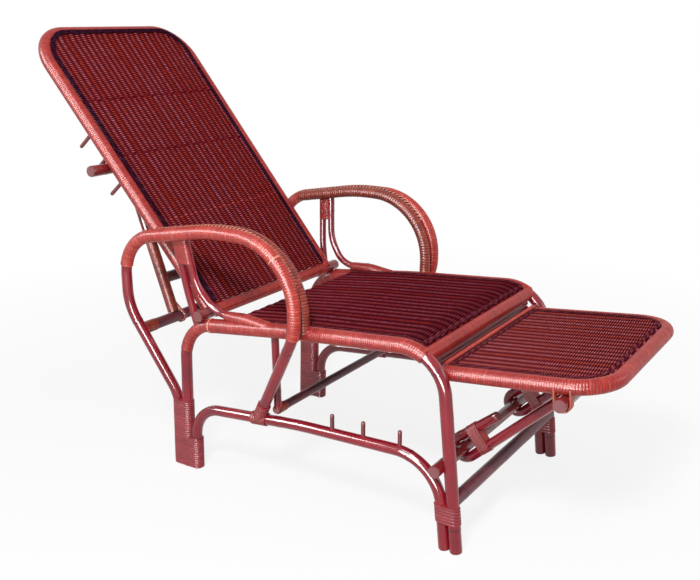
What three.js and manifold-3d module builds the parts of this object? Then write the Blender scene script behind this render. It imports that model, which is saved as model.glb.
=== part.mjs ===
import * as THREE from 'three';
import { mergeVertices } from 'three/addons/utils/BufferGeometryUtils.js';
import Module from 'manifold-3d';

// A reclining lounge chair of bent rattan poles, bound with split bark, with woven seat, back and
// hinged leg rest. X runs across the chair, the sitter faces -Y, and Z is up. Lengths are in mm.

const wasm = await Module();
wasm.setup();

// Clearances and facets
const gap = 0.3;
const overrun = 5;
const tubeSides = 12;
const postSides = 10;
const slimSides = 8;
const strandSides = 6;
const bendStep = THREE.MathUtils.degToRad(18);

// Pole radii, bare and bound with bark
const mainR = 14.5;
const mainBoundR = 18;
const braceR = 13.5;
const armR = 13.5;
const armBoundR = 16;
const armInnerR = 14.5;
const postR = 9.5;
const stretcherR = 14.5;
const crossbarR = 14.5;
const midStretcherR = 10.5;
const rodR = 14.25;
const pegR = 5;
const pegSeat = 10;
const bindingWall = 3.2;
const strandR = 2.5;

// Side frame: both big bends of a side lie in one upright plane
const frameHalf = 280;
const rearFootY = 31;
const rearKneeY = 21;
const rearKneeZ = 388;
const railCrownY = -315;
const railCrownZ = 428;
const frontKneeY = -696;
const frontKneeZ = 458.5;
const frontFootY = -743.5;
const rearBend = 100;
const railBend = 900;
const frontBend = 105;
const boundFromY = -57;
const boundToY = -655;

// Lower brace with the notch pegs of the leg rest
const braceKneeZ = 169;
const braceCrownY = -327;
const braceCrownZ = 198;
const braceShoulderZ = 208;
const braceRearBend = 85;
const braceBend = 1200;
const braceFrontBend = 115;
const bracePegsY = [-419, -503, -598];
const bracePegRise = 34;

// Bindings of the feet, as heights above the floor
const footBinding = [3, 75];
const legBinding = [115, 198];
const frontBinding = [68, 108];

// Arm: one long pole bent into a loop, a shorter one beside it along the top
const armSpread = 47;
const armReach = 350;
const armRear = 167;
const armKneeZ = 185;
const armRearZ = 425;
const armRearTopZ = 599;
const armCrownY = -110;
const armCrownZ = 648;
const armFrontTopZ = 646;
const armFrontZ = 440;
const armKneeBend = 150;
const armRearBend = 182;
const armRearTopBend = 110;
const armCrownBend = 500;
const armFrontBend = 158;
const armStrutBend = 140;
const strutFootY = -210;
const strutFootOut = 4;
const armBoundLow = 530;
const armBoundFront = 430;
const innerRearY = 78;
const innerFrontY = -347;
const innerFrontBend = 172;
const innerFootOut = 6;

// Arm posts: the straight one stands behind the back's axle, the curved one ahead of it
const straightPostTopY = 8;
const straightPostMidOut = 12;
const straightPostMidY = -3;
const straightPostMidZ = 482;
const straightPostBend = 400;
const straightPostFootY = -23;
const straightPostFootZ = 380;
const curvedPostTopY = -20;
const curvedPostMidOut = 14;
const curvedPostMidY = -32;
const curvedPostMidZ = 500;
const curvedPostMidBend = 120;
const curvedPostBend = 75;
const curvedPostKneeY = -84;
const curvedPostEndY = -172;
const postBinding = [-134, -166];

// Cross pieces of the frame
const crossbarY = 140;
const crossbarZ = 362;
const frontStretcherZ = 118;
const midPostIn = 18;
const midPostLean = 6;
const midStretcherY = -249.5;
const midStretcherOut = 14;
const strutBinding = [-186, -230];
const strutBindingRise = 42;

// Seat
const seatBarR = 17;
const seatBarY = -655;
const seatRearBarR = 13;
const seatRearBarY = -125;
const seatRearBarDrop = 4;
const seatRearY = -118;
const seatRise = 9;
const seatThick = 7;
const seatRibs = 8;
const seatRuns = 2;

// Back
const backRecline = THREE.MathUtils.degToRad(49.6);
const backBaseIn = 28;
const backTopIn = 13;
const backLength = 864;
const backCorner = 100;
const backR = 17.5;
const panelThick = 7;
const backPanelRise = 12.5;
const backRibs = 8;
const backAxleOut = 22;
const backPegFirstAt = 404;
const backPegStep = 75;
const backPegCount = 3;
const backPegReach = 50;

// Back prop: two poles from the rear crossbar to the rod under the middle peg
const backPropIn = 88;
const backPropR = 13.5;
const backPropBoundR = 15;
const backPropBoundShare = 0.55;
const backPropRodOut = 36;
const backPropBarAt = 106;
const strapRise = 45;
const strapPinchShare = 0.45;
const strapBendShare = 0.95;

// Leg rest
const pivotY = -682;
const pivotZ = 404;
const pivotR = 10.5;
const legRestRise = THREE.MathUtils.degToRad(5.76);
const legRestClear = 2;
const legRestLength = 355;
const legRestCorner = 88;
const legRestR = 17;
const legRestDrop = 8;
const legRestPanelRise = 12;
const legRestRibs = 5;
const hingeRodAt = 268;
const hingeRodOut = 31.5;

// Leg rest prop: two hairpin poles from the hinge rod to the rod that lies in the notch
const legPropIn = 130;
const legPropR = 11.5;
const legPropTail = 118;
const legPropBinding = [58, 34];
const notchRodOut = 23;

// Finishes
const finish = (color, roughness) => new THREE.MeshStandardMaterial({ color, roughness, metalness: 0 });
const finishes = {
  lacquered: () => finish(0x8c1f33, 0.25),
  bound: () => finish(0xa8322b, 0.4),
  bark: () => finish(0x93291f, 0.45),
  cane: () => finish(0x6b4038, 0.5),
  rod: () => finish(0x8e3038, 0.35),
  woven: () => finish(0x5a1a22, 0.5),
};

// Routes: a pole is straight between its corners and bent round an arc at each one
class Route extends THREE.Curve {
  constructor(points) {
    super();
    this.points = points;
    this.tangents = points.map((point, index) => {
      const before = points[Math.max(index - 1, 0)];
      const after = points[Math.min(index + 1, points.length - 1)];
      return after.clone().sub(before).normalize();
    });
    this.marks = [0];
    for (let index = 1; index < points.length; index += 1) {
      this.marks.push(this.marks[index - 1] + points[index].distanceTo(points[index - 1]));
    }
  }

  get length() {
    return this.marks[this.marks.length - 1];
  }

  getPointAt(share) {
    return this.points[Math.round(share * (this.points.length - 1))].clone();
  }

  getTangentAt(share) {
    return this.tangents[Math.round(share * (this.points.length - 1))].clone();
  }

  pointAlong(distance) {
    const last = this.marks.length - 1;
    const index = Math.min(Math.max(this.marks.findIndex((mark) => mark > distance), 1), last);
    const after = distance >= this.length ? last : index;
    const share = (distance - this.marks[after - 1]) / (this.marks[after] - this.marks[after - 1]);
    return this.points[after - 1].clone().lerp(this.points[after], share);
  }

  between(from, to) {
    const inner = this.points.filter((point, index) => this.marks[index] > from && this.marks[index] < to);
    return new Route([this.pointAlong(from), ...inner, this.pointAlong(to)]);
  }

  longer(by) {
    const last = this.points.length - 1;
    const start = this.points[0].clone().addScaledVector(this.tangents[0], -by);
    const end = this.points[last].clone().addScaledVector(this.tangents[last], by);
    return new Route([start, ...this.points.slice(1, -1), end]);
  }

  where(test) {
    const steps = Math.ceil(this.length);
    for (let step = 0; step <= steps; step += 1) {
      const distance = (step / steps) * this.length;
      if (test(this.pointAlong(distance))) return distance;
    }
    return this.length;
  }
}

function bentRoute(corners) {
  const points = [corners[0].at.clone()];
  for (let index = 1; index < corners.length - 1; index += 1) {
    const corner = corners[index].at;
    const inward = corner.clone().sub(corners[index - 1].at).normalize();
    const outward = corners[index + 1].at.clone().sub(corner).normalize();
    const turn = inward.angleTo(outward);
    const tangent = corners[index].bend * Math.tan(turn / 2);
    const axis = inward.clone().cross(outward).normalize();
    const start = corner.clone().addScaledVector(inward, -tangent);
    const centre = start.clone().addScaledVector(axis.clone().cross(inward), corners[index].bend);
    const steps = Math.max(1, Math.ceil(turn / bendStep));
    for (let step = 0; step <= steps; step += 1) {
      const arm = start.clone().sub(centre).applyAxisAngle(axis, (turn * step) / steps);
      points.push(centre.clone().add(arm));
    }
  }
  points.push(corners[corners.length - 1].at.clone());
  return new Route(points);
}

// Solids: geometry to a solid for joining and cutting, and back to a mesh
function solidOf(geometry) {
  const bare = geometry.clone();
  bare.deleteAttribute('normal');
  bare.deleteAttribute('uv');
  const merged = mergeVertices(bare, 1e-4);
  const vertProperties = new Float32Array(merged.attributes.position.array);
  const triVerts = new Uint32Array(merged.index.array);
  return new wasm.Manifold(new wasm.Mesh({ numProp: 3, vertProperties, triVerts }));
}

function meshOf(name, solid, material) {
  const { vertProperties, triVerts } = solid.getMesh();
  const geometry = new THREE.BufferGeometry();
  geometry.setAttribute('position', new THREE.BufferAttribute(new Float32Array(vertProperties), 3));
  geometry.setIndex(new THREE.BufferAttribute(new Uint32Array(triVerts), 1));
  geometry.computeVertexNormals();
  const mesh = new THREE.Mesh(geometry, material);
  mesh.name = name;
  return mesh;
}

const cutBy = (solid, cutters) => cutters.reduce((left, cutter) => left.subtract(cutter), solid);

function circle(radius) {
  const shape = new THREE.Shape();
  shape.absarc(0, 0, radius, 0, Math.PI * 2);
  return shape;
}

function tube(route, radius, sides = tubeSides) {
  return solidOf(new THREE.ExtrudeGeometry(circle(radius), {
    steps: route.points.length - 1,
    extrudePath: route,
    bevelEnabled: false,
    curveSegments: sides / 2,
  }));
}

function bar(half, y, z, radius, sides = tubeSides) {
  return tube(new Route([new THREE.Vector3(-half, y, z), new THREE.Vector3(half, y, z)]), radius, sides);
}

// A band round a row of poles: a long rounded outline drawn along a route
function band(route, halfRow, radius) {
  const outline = new THREE.Shape();
  outline.absarc(0, halfRow, radius, 0, Math.PI);
  outline.absarc(0, -halfRow, radius, Math.PI, Math.PI * 2);
  return solidOf(new THREE.ExtrudeGeometry(outline, {
    steps: route.points.length - 1,
    extrudePath: route,
    bevelEnabled: false,
    curveSegments: slimSides / 2,
  }));
}

const floorSize = 4 * frameHalf;
const floorDepth = 2 * mainBoundR;
const floorGeometry = new THREE.BoxGeometry(floorSize, floorSize * 2, floorDepth);
floorGeometry.translate(0, frontFootY / 2, -floorDepth / 2);
const floor = solidOf(floorGeometry);

// Half widths of the moving pieces, all taken from the side frames
const backBaseHalf = frameHalf - backBaseIn;
const backTopHalf = frameHalf - backTopIn;
const backAxleHalf = frameHalf + backAxleOut;
const backPropHalf = frameHalf - backPropIn;
const backPropRodHalf = frameHalf + backPropRodOut;
const legRestHalf = frameHalf - mainR - legRestR - legRestClear;
const hingeRodHalf = legRestHalf + hingeRodOut;
const legPropHalf = frameHalf - legPropIn;
const notchRodHalf = frameHalf + notchRodOut;

// Side frame places
const besideBrace = mainR + braceR + gap;
const besideArm = mainR + armR + gap;
const rearLean = (rearKneeY - rearFootY) / rearKneeZ;
const frontLean = (frontKneeY - frontFootY) / frontKneeZ;
const rearStretch = Math.hypot(1, rearLean);
const frontStretch = Math.hypot(1, frontLean);
const mainRearY = (z) => rearFootY + rearLean * z;
const mainFrontY = (z) => frontFootY + frontLean * z;
const braceRearY = (z) => mainRearY(z) - besideBrace * rearStretch;
const braceFrontY = (z) => mainFrontY(z) + besideBrace * frontStretch;
const armRearY = (z) => mainRearY(z) + besideArm * rearStretch;
const place = (side, x, y, z) => new THREE.Vector3(side * x, y, z);
const below = -overrun;

function mainRoute(side) {
  return bentRoute([
    { at: place(side, frameHalf, mainRearY(below), below) },
    { at: place(side, frameHalf, rearKneeY, rearKneeZ), bend: rearBend },
    { at: place(side, frameHalf, railCrownY, railCrownZ), bend: railBend },
    { at: place(side, frameHalf, frontKneeY, frontKneeZ), bend: frontBend },
    { at: place(side, frameHalf, mainFrontY(below), below) },
  ]);
}

function braceRoute(side) {
  return bentRoute([
    { at: place(side, frameHalf, braceRearY(below), below) },
    { at: place(side, frameHalf, braceRearY(braceKneeZ), braceKneeZ), bend: braceRearBend },
    { at: place(side, frameHalf, braceCrownY, braceCrownZ), bend: braceBend },
    { at: place(side, frameHalf, braceFrontY(braceShoulderZ), braceShoulderZ), bend: braceFrontBend },
    { at: place(side, frameHalf, braceFrontY(below), below) },
  ]);
}

// Height of a route's middle line above a place along Y, on the stretch that lies flat
function heightAt(route, y) {
  const index = route.points.findIndex((point, at) => at > 0 && point.z > braceKneeZ / 2 && point.y <= y);
  const before = route.points[index - 1];
  const after = route.points[index];
  return THREE.MathUtils.mapLinear(y, before.y, after.y, before.z, after.z);
}

const rail = mainRoute(1);
const brace = braceRoute(1);
const railZ = (y) => heightAt(rail, y);
const braceZ = (y) => heightAt(brace, y);

// Centre of a bend, in the side plane, from its corner and the two stretches that meet there
function bendCentre(before, corner, after, bend) {
  const inward = corner.clone().sub(before).normalize();
  const outward = after.clone().sub(corner).normalize();
  const half = inward.angleTo(outward) / 2;
  return outward.sub(inward).normalize().multiplyScalar(bend / Math.cos(half)).add(corner);
}

const yz = (y, z) => new THREE.Vector2(y, z);

// The arm's long pole and the shorter one inside it
const armOut = frameHalf + armSpread;
const innerOut = armOut - armBoundR - armInnerR - gap;
const strutFootZ = braceZ(strutFootY) + braceR;

function armRoute(side) {
  return bentRoute([
    { at: place(side, frameHalf, armRearY(below), below) },
    { at: place(side, frameHalf, armRearY(armKneeZ), armKneeZ), bend: armKneeBend },
    { at: place(side, armOut, armRear, armRearZ), bend: armRearBend },
    { at: place(side, armOut, armRear, armRearTopZ), bend: armRearTopBend },
    { at: place(side, armOut, armCrownY, armCrownZ), bend: armCrownBend },
    { at: place(side, armOut, -armReach, armFrontTopZ), bend: armFrontBend },
    { at: place(side, armOut, -armReach, armFrontZ), bend: armStrutBend },
    { at: place(side, frameHalf + strutFootOut, strutFootY, strutFootZ - overrun) },
  ]);
}

const armTopZ = (y) => THREE.MathUtils.mapLinear(y, armRear, armCrownY, armRearTopZ, armCrownZ);

function armInnerRoute(side) {
  return bentRoute([
    { at: place(side, innerOut, innerRearY, armTopZ(innerRearY)) },
    { at: place(side, innerOut, armCrownY, armCrownZ), bend: armCrownBend },
    { at: place(side, innerOut, innerFrontY, armFrontTopZ), bend: innerFrontBend },
    { at: place(side, frameHalf + innerFootOut, innerFrontY, railZ(innerFrontY)) },
  ]);
}

// Back axle: it lies on the rear bend of both rails and against the straight arm posts
const rearBendCentre = bendCentre(
  yz(rearFootY, 0), yz(rearKneeY, rearKneeZ), yz(railCrownY, railCrownZ), rearBend);
const postFoot = yz(straightPostFootY, straightPostFootZ);
const postRun = yz(straightPostMidY, straightPostMidZ).sub(postFoot).normalize();
const postNormal = yz(-postRun.y, postRun.x);
const axleOnBend = rearBend + mainR + rodR + gap;
const axleOffPost = postR + rodR + gap;
const postSide = postNormal.dot(postFoot) + axleOffPost - postNormal.dot(rearBendCentre);
const axleAngle = postNormal.angle() - Math.acos(postSide / axleOnBend);
const axle = yz(Math.cos(axleAngle), Math.sin(axleAngle)).multiplyScalar(axleOnBend).add(rearBendCentre);

// Rod of the leg rest: it lies in the hollow between the front leg and the brace's shoulder
const shoulderCentre = bendCentre(
  yz(braceCrownY, braceCrownZ), yz(braceFrontY(braceShoulderZ), braceShoulderZ),
  yz(braceFrontY(0), 0), braceFrontBend);
const legRun = yz(frontLean, 1).normalize();
const legNormal = yz(legRun.y, -legRun.x);
const rodOnShoulder = braceFrontBend + braceR + rodR + gap;
const rodOffLeg = mainR + rodR + gap;
const legSide = legNormal.dot(yz(frontFootY, 0)) + rodOffLeg - legNormal.dot(shoulderCentre);
const notchAngle = legNormal.angle() + Math.acos(legSide / rodOnShoulder);
const notchWay = yz(Math.cos(notchAngle), Math.sin(notchAngle));
const notch = shoulderCentre.clone().addScaledVector(notchWay, rodOnShoulder);

// Arm posts: the curved one's foot lies along the rail, square to its slope
const railSlant = Math.hypot(1, (railCrownZ - rearKneeZ) / (railCrownY - rearKneeY));
const postTopOut = (innerOut + armOut) / 2;
const straightPostMidX = frameHalf + straightPostMidOut;
const curvedPostMidX = frameHalf + curvedPostMidOut;
const curvedPostZ = (y) => railZ(y) + (mainBoundR + postR + gap) * railSlant;

function straightPostRoute(side) {
  return bentRoute([
    { at: place(side, postTopOut, straightPostTopY, armTopZ(straightPostTopY) - postR / 2) },
    { at: place(side, straightPostMidX, straightPostMidY, straightPostMidZ), bend: straightPostBend },
    { at: place(side, frameHalf, straightPostFootY, straightPostFootZ) },
  ]);
}

function curvedPostRoute(side) {
  return bentRoute([
    { at: place(side, postTopOut, curvedPostTopY, armTopZ(curvedPostTopY) - postR / 2) },
    { at: place(side, curvedPostMidX, curvedPostMidY, curvedPostMidZ), bend: curvedPostMidBend },
    { at: place(side, frameHalf, curvedPostKneeY, curvedPostZ(curvedPostKneeY)), bend: curvedPostBend },
    { at: place(side, frameHalf, curvedPostEndY, curvedPostZ(curvedPostEndY)) },
  ]);
}

// The sitter's left is towards +X
const sideName = (side) => (side > 0 ? 'left' : 'right');

// One side of the frame: every pole, peg and binding of it
function sideFrame(side, group) {
  const name = sideName(side);
  const main = mainRoute(side);
  const lower = braceRoute(side);
  const arm = armRoute(side);
  const inner = armInnerRoute(side);
  const straight = straightPostRoute(side);
  const curved = curvedPostRoute(side);
  const onRail = (y) => main.where((point) => point.y < y && point.z > braceKneeZ);
  const onBrace = (y) => lower.where((point) => point.y < y && point.z > braceKneeZ / 2);
  const boundRail = main.between(onRail(boundFromY), onRail(boundToY));
  const armUp = arm.where((point) => point.z > armBoundLow);
  const armDown = arm.where((point) => point.y < -armReach / 2 && point.z < armBoundFront);
  const mainGrown = tube(main, mainR + gap).add(tube(boundRail.longer(gap), mainBoundR + gap));
  const braceGrown = tube(lower, braceR + gap);
  const boundArm = arm.between(armUp, armDown);
  const armGrown = tube(arm, armR + gap).add(tube(boundArm.longer(gap), armBoundR + gap));
  const innerGrown = tube(inner, armInnerR + gap);

  group.add(meshOf(`main_pole_${name}`,
    cutBy(tube(main, mainR).add(tube(boundRail, mainBoundR)), [floor]), finishes.bound()));

  const pegRoutes = bracePegsY.map((y) => new Route([
    place(side, frameHalf, y, braceZ(y) + braceR - pegSeat),
    place(side, frameHalf, y, braceZ(y) + braceR + bracePegRise),
  ]));
  const pegHoles = pegRoutes.map((route) => tube(new Route([
    route.points[0].clone().setZ(route.points[0].z - gap), route.points[1],
  ]), pegR + gap, slimSides));
  group.add(meshOf(`brace_pole_${name}`,
    cutBy(tube(lower, braceR), [floor, ...pegHoles]), finishes.lacquered()));
  pegRoutes.forEach((route, index) => {
    group.add(meshOf(`brace_peg_${name}_${index + 1}`, tube(route, pegR, slimSides), finishes.cane()));
  });

  group.add(meshOf(`arm_pole_${name}`,
    cutBy(tube(arm, armR).add(tube(boundArm, armBoundR)), [floor, braceGrown]), finishes.bound()));
  group.add(meshOf(`arm_inner_pole_${name}`, cutBy(tube(inner, armInnerR), [mainGrown]), finishes.bound()));

  const armsGrown = [mainGrown, armGrown, innerGrown];
  group.add(meshOf(`arm_post_straight_${name}`,
    cutBy(tube(straight, postR, postSides), armsGrown), finishes.cane()));
  const straightGrown = tube(straight, postR + gap, postSides);
  group.add(meshOf(`arm_post_curved_${name}`,
    cutBy(tube(curved, postR, postSides), [...armsGrown, straightGrown]), finishes.cane()));

  // Bark round the curved post's foot and the rail
  const postBand = main.between(onRail(postBinding[0]), onRail(postBinding[1]));
  const curvedFoot = curved.between(
    curved.where((point) => point.y < postBinding[0]), curved.where((point) => point.y < postBinding[1]));
  const postBandSolid = tube(postBand, mainBoundR + bindingWall).add(tube(curvedFoot, postR + bindingWall));
  group.add(meshOf(`arm_post_binding_${name}`,
    cutBy(postBandSolid, [mainGrown, tube(curved, postR + gap, postSides)]), finishes.bark()));

  // Post between the rail and the middle stretcher
  const midPost = new Route([
    place(side, frameHalf - midPostIn, midStretcherY, midStretcherZ),
    place(side, frameHalf - midPostIn + midPostLean, midStretcherY, railZ(midStretcherY) - postR / 2),
  ]);
  group.add(meshOf(`mid_post_${name}`, cutBy(tube(midPost, postR, postSides), [mainGrown, midStretcherGrown]),
    finishes.cane()));

  // Bindings round the feet
  const upright = (yOf, [low, high]) => new Route([
    place(side, frameHalf, yOf(low), low), place(side, frameHalf, yOf(high), high),
  ]);
  const footRow = (z) => (braceRearY(z) + armRearY(z)) / 2;
  const footHalf = (armRearY(0) - braceRearY(0)) / 2;
  group.add(meshOf(`rear_foot_binding_${name}`,
    cutBy(band(upright(footRow, footBinding), footHalf, mainR + bindingWall),
      [mainGrown, braceGrown, armGrown]),
    finishes.bark()));
  const legRow = (z) => (mainRearY(z) + armRearY(z)) / 2;
  const legHalf = (armRearY(0) - mainRearY(0)) / 2;
  group.add(meshOf(`rear_leg_binding_${name}`,
    cutBy(band(upright(legRow, legBinding), legHalf, mainR + bindingWall),
      [mainGrown, braceGrown, armGrown]),
    finishes.bark()));
  const frontRow = (z) => (mainFrontY(z) + braceFrontY(z)) / 2;
  const frontHalf = (braceFrontY(0) - mainFrontY(0)) / 2;
  group.add(meshOf(`front_foot_binding_${name}`,
    cutBy(band(upright(frontRow, frontBinding), frontHalf, mainR + bindingWall),
      [mainGrown, braceGrown, frontStretcherGrown]),
    finishes.bark()));

  // Bark round the arm strut's foot and the brace
  const braceBand = lower.between(onBrace(strutBinding[0]), onBrace(strutBinding[1]));
  const strutFoot = arm.between(arm.length - overrun - strutBindingRise, arm.length - overrun);
  group.add(meshOf(`strut_binding_${name}`,
    cutBy(tube(braceBand, braceR + bindingWall).add(tube(strutFoot, armR + bindingWall)),
      [braceGrown, armGrown, midStretcherGrown]),
    finishes.bark()));

  return { mainGrown, armGrown, postBandSolid };
}

// Cross pieces of the frame
const midStretcherZ = braceZ(midStretcherY) + braceR + midStretcherR + gap;
const midStretcherHalf = frameHalf + midStretcherOut;
const midStretcherGrown = bar(midStretcherHalf + gap, midStretcherY, midStretcherZ, midStretcherR + gap);
const frontStretcherY = mainFrontY(frontStretcherZ);
const frontStretcherGrown = bar(frameHalf, frontStretcherY, frontStretcherZ, stretcherR + gap);

const frame = new THREE.Group();
const sides = [1, -1].map((side) => sideFrame(side, frame));
const rails = sides.map((side) => side.mainGrown);
const arms = sides.map((side) => side.armGrown);
const postBands = sides.map((side) => side.postBandSolid);

frame.add(meshOf('rear_crossbar',
  cutBy(bar(armOut, crossbarY, crossbarZ, crossbarR), arms), finishes.cane()));
frame.add(meshOf('front_stretcher',
  cutBy(bar(frameHalf, frontStretcherY, frontStretcherZ, stretcherR), rails), finishes.cane()));
frame.add(meshOf('mid_stretcher', bar(midStretcherHalf, midStretcherY, midStretcherZ, midStretcherR),
  finishes.cane()));

// Seat: a bound bar at the front, a hidden one at the rear, and the woven panel between the rails
const seatBarZ = railZ(seatBarY);
const seatRearBarZ = railZ(seatRearBarY) - seatRearBarDrop;
const seatBarGrown = bar(frameHalf, seatBarY, seatBarZ, seatBarR + gap);
const seatRearBarGrown = bar(frameHalf, seatRearBarY, seatRearBarZ, seatRearBarR + gap);
frame.add(meshOf('seat_front_bar',
  cutBy(bar(frameHalf, seatBarY, seatBarZ, seatBarR), rails), finishes.bound()));
frame.add(meshOf('seat_rear_bar',
  cutBy(bar(frameHalf, seatRearBarY, seatRearBarZ, seatRearBarR), [...rails, ...postBands]),
  finishes.cane()));

// A woven slab lies flat along -Y from y = 0. Each rib stands for two stakes of the weave, and the
// slab is thin between the ribs
const weaveHollowShare = 0.5;

function wovenSlab(half, length, thick, ribs, runs = 1) {
  const edge = Array.from({ length: 2 * ribs + 1 }, (none, index) => new THREE.Vector2(
    half * (index / ribs - 1), thick / 2 * (index % 2 ? 1 : weaveHollowShare)));
  const under = edge.map((point) => new THREE.Vector2(point.x, -point.y)).reverse();
  const geometry = new THREE.ExtrudeGeometry(new THREE.Shape([...edge, ...under]), {
    depth: length,
    steps: runs,
    bevelEnabled: false,
  });
  geometry.applyMatrix4(new THREE.Matrix4().makeBasis(
    new THREE.Vector3(1, 0, 0), new THREE.Vector3(0, 0, 1), new THREE.Vector3(0, -1, 0)));
  return geometry;
}

// Moves every point of a slab by a rule that is given its place
function reshaped(geometry, rule) {
  const places = geometry.attributes.position;
  for (let index = 0; index < places.count; index += 1) {
    const point = rule(new THREE.Vector3().fromBufferAttribute(places, index));
    places.setXYZ(index, point.x, point.y, point.z);
  }
  return geometry;
}

function seatPanel() {
  const slab = wovenSlab(frameHalf, seatRearY - seatBarY, seatThick, seatRibs, seatRuns);
  slab.translate(0, seatRearY, seatRise + seatThick / 2);
  const laid = reshaped(slab, (point) => point.setZ(point.z + railZ(point.y)));
  return cutBy(solidOf(laid), [...rails, ...postBands, seatBarGrown, seatRearBarGrown]);
}

frame.add(meshOf('seat_panel', seatPanel(), finishes.woven()));

// A hoop of one bent pole, lying flat, open towards its root at y = 0, and the panel woven in it
function hoopRoute(baseHalf, tipHalf, reach, bend, z) {
  return bentRoute([
    { at: new THREE.Vector3(-baseHalf, 0, z) },
    { at: new THREE.Vector3(-tipHalf, reach, z), bend },
    { at: new THREE.Vector3(tipHalf, reach, z), bend },
    { at: new THREE.Vector3(baseHalf, 0, z) },
  ]);
}

function hoopPanel(route, radius, rise, ribs, cutters) {
  const outline = new THREE.Shape(route.points.map((point) => new THREE.Vector2(point.x, point.y)));
  const block = new THREE.ExtrudeGeometry(outline, { depth: 2 * radius, bevelEnabled: false });
  block.translate(0, 0, route.points[0].z - radius);
  block.computeBoundingBox();
  const base = Math.abs(route.points[0].x);
  const { min, max } = block.boundingBox;
  const slab = wovenSlab(max.x, max.y - min.y, panelThick, ribs);
  slab.translate(0, max.y, route.points[0].z + rise);
  const fanned = reshaped(slab, (point) => (
    point.setX(point.x * THREE.MathUtils.mapLinear(point.y, min.y, max.y, base, max.x) / max.x)
  ));
  return cutBy(solidOf(block).intersect(solidOf(fanned)), [tube(route, radius + gap), ...cutters]);
}

// Back: modelled lying flat with its length along Y, then turned up about its axle
const backPegs = Array.from({ length: backPegCount }, (none, index) => backPegFirstAt + index * backPegStep);

function buildBack() {
  const back = new THREE.Group();
  const hoop = hoopRoute(backBaseHalf, backTopHalf, backLength, backCorner, 0);
  const axleSolid = bar(backAxleHalf, 0, 0, rodR);
  const axleGrown = bar(backAxleHalf, 0, 0, rodR + gap);
  const outAt = (y) => THREE.MathUtils.mapLinear(y, 0, backLength, backBaseHalf, backTopHalf);
  const pegs = [1, -1].flatMap((side) => backPegs.map((y) => new Route([
    place(side, outAt(y), y, -backR + pegSeat), place(side, outAt(y), y, -backR - backPegReach),
  ])));
  const holes = pegs.map((route) => tube(new Route([
    route.points[0].clone().setZ(route.points[0].z + gap), route.points[1],
  ]), pegR + gap, slimSides));
  back.add(meshOf('back_hoop', cutBy(tube(hoop, backR), [axleGrown, ...holes]), finishes.bound()));
  back.add(meshOf('back_axle', axleSolid, finishes.rod()));
  back.add(meshOf('back_panel', hoopPanel(hoop, backR, backPanelRise, backRibs, [axleGrown]),
    finishes.woven()));
  pegs.forEach((route, index) => {
    const name = sideName(route.points[0].x);
    const number = (index % backPegs.length) + 1;
    back.add(meshOf(`back_peg_${name}_${number}`, tube(route, pegR, slimSides), finishes.cane()));
  });
  back.position.set(0, axle.x, axle.y);
  back.rotation.x = backRecline;
  return back;
}

// Where the prop's rod lies: behind the back's rails and just below the middle peg
const rodUp = backPegFirstAt + backPegStep - pegR - gap - rodR;
const rodBehind = backR + rodR + gap;
const backRun = yz(Math.cos(backRecline), Math.sin(backRecline));
const backRear = yz(backRun.y, -backRun.x);
const propRod = axle.clone().addScaledVector(backRun, rodUp).addScaledVector(backRear, rodBehind);
const backPropRun = propRod.clone().sub(yz(crossbarY, crossbarZ));
const backPropLength = backPropRun.length();

// A strand looped under a bar, its two ends drawn together at a height above it
function sling(x, radius, rise, pinch) {
  const reach = radius + gap + strandR;
  return bentRoute([
    { at: new THREE.Vector3(x, rise, pinch) },
    { at: new THREE.Vector3(x, 0, reach), bend: reach },
    { at: new THREE.Vector3(x, -reach, reach), bend: reach * strapBendShare },
    { at: new THREE.Vector3(x, -reach, -reach), bend: reach * strapBendShare },
    { at: new THREE.Vector3(x, 0, -reach), bend: reach },
    { at: new THREE.Vector3(x, rise, -pinch) },
  ]);
}

function buildBackProp() {
  const prop = new THREE.Group();
  const crossGrown = bar(backPropRodHalf, 0, 0, (crossbarR + gap) / Math.cos(Math.PI / tubeSides));
  const rodGrown = bar(backPropRodHalf, backPropLength, 0, rodR + gap);
  const poleAt = (x, radius, to) => (
    tube(new Route([new THREE.Vector3(x, 0, 0), new THREE.Vector3(x, to, 0)]), radius)
  );
  const polesGrown = [];
  for (const side of [1, -1]) {
    const name = sideName(side);
    const poleX = side * backPropHalf;
    const pole = poleAt(poleX, backPropR, backPropLength)
      .add(poleAt(poleX, backPropBoundR, backPropLength * backPropBoundShare));
    prop.add(meshOf(`back_prop_pole_${name}`, cutBy(pole, [crossGrown, rodGrown]), finishes.bound()));
    polesGrown.push(poleAt(poleX, backPropBoundR + gap, backPropLength));
    const strapX = side * (backPropHalf - backPropBoundR - strandR - gap);
    const strapRoute = sling(strapX, crossbarR, strapRise, crossbarR * strapPinchShare);
    const strap = tube(strapRoute, strandR, strandSides);
    prop.add(meshOf(`back_prop_strap_${name}`, strap, finishes.bark()));
  }
  prop.add(meshOf('back_prop_rod', bar(backPropRodHalf, backPropLength, 0, rodR), finishes.rod()));
  prop.add(meshOf('back_prop_bar', cutBy(bar(backPropHalf, backPropBarAt, 0, stretcherR), polesGrown),
    finishes.cane()));
  prop.position.set(0, crossbarY, crossbarZ);
  prop.rotation.x = backPropRun.angle();
  return prop;
}

// Leg rest: modelled level with its length along -Y, then tilted up about its pivot bar
const hingeRodDrop = legRestDrop + legRestR + rodR + gap;

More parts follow.
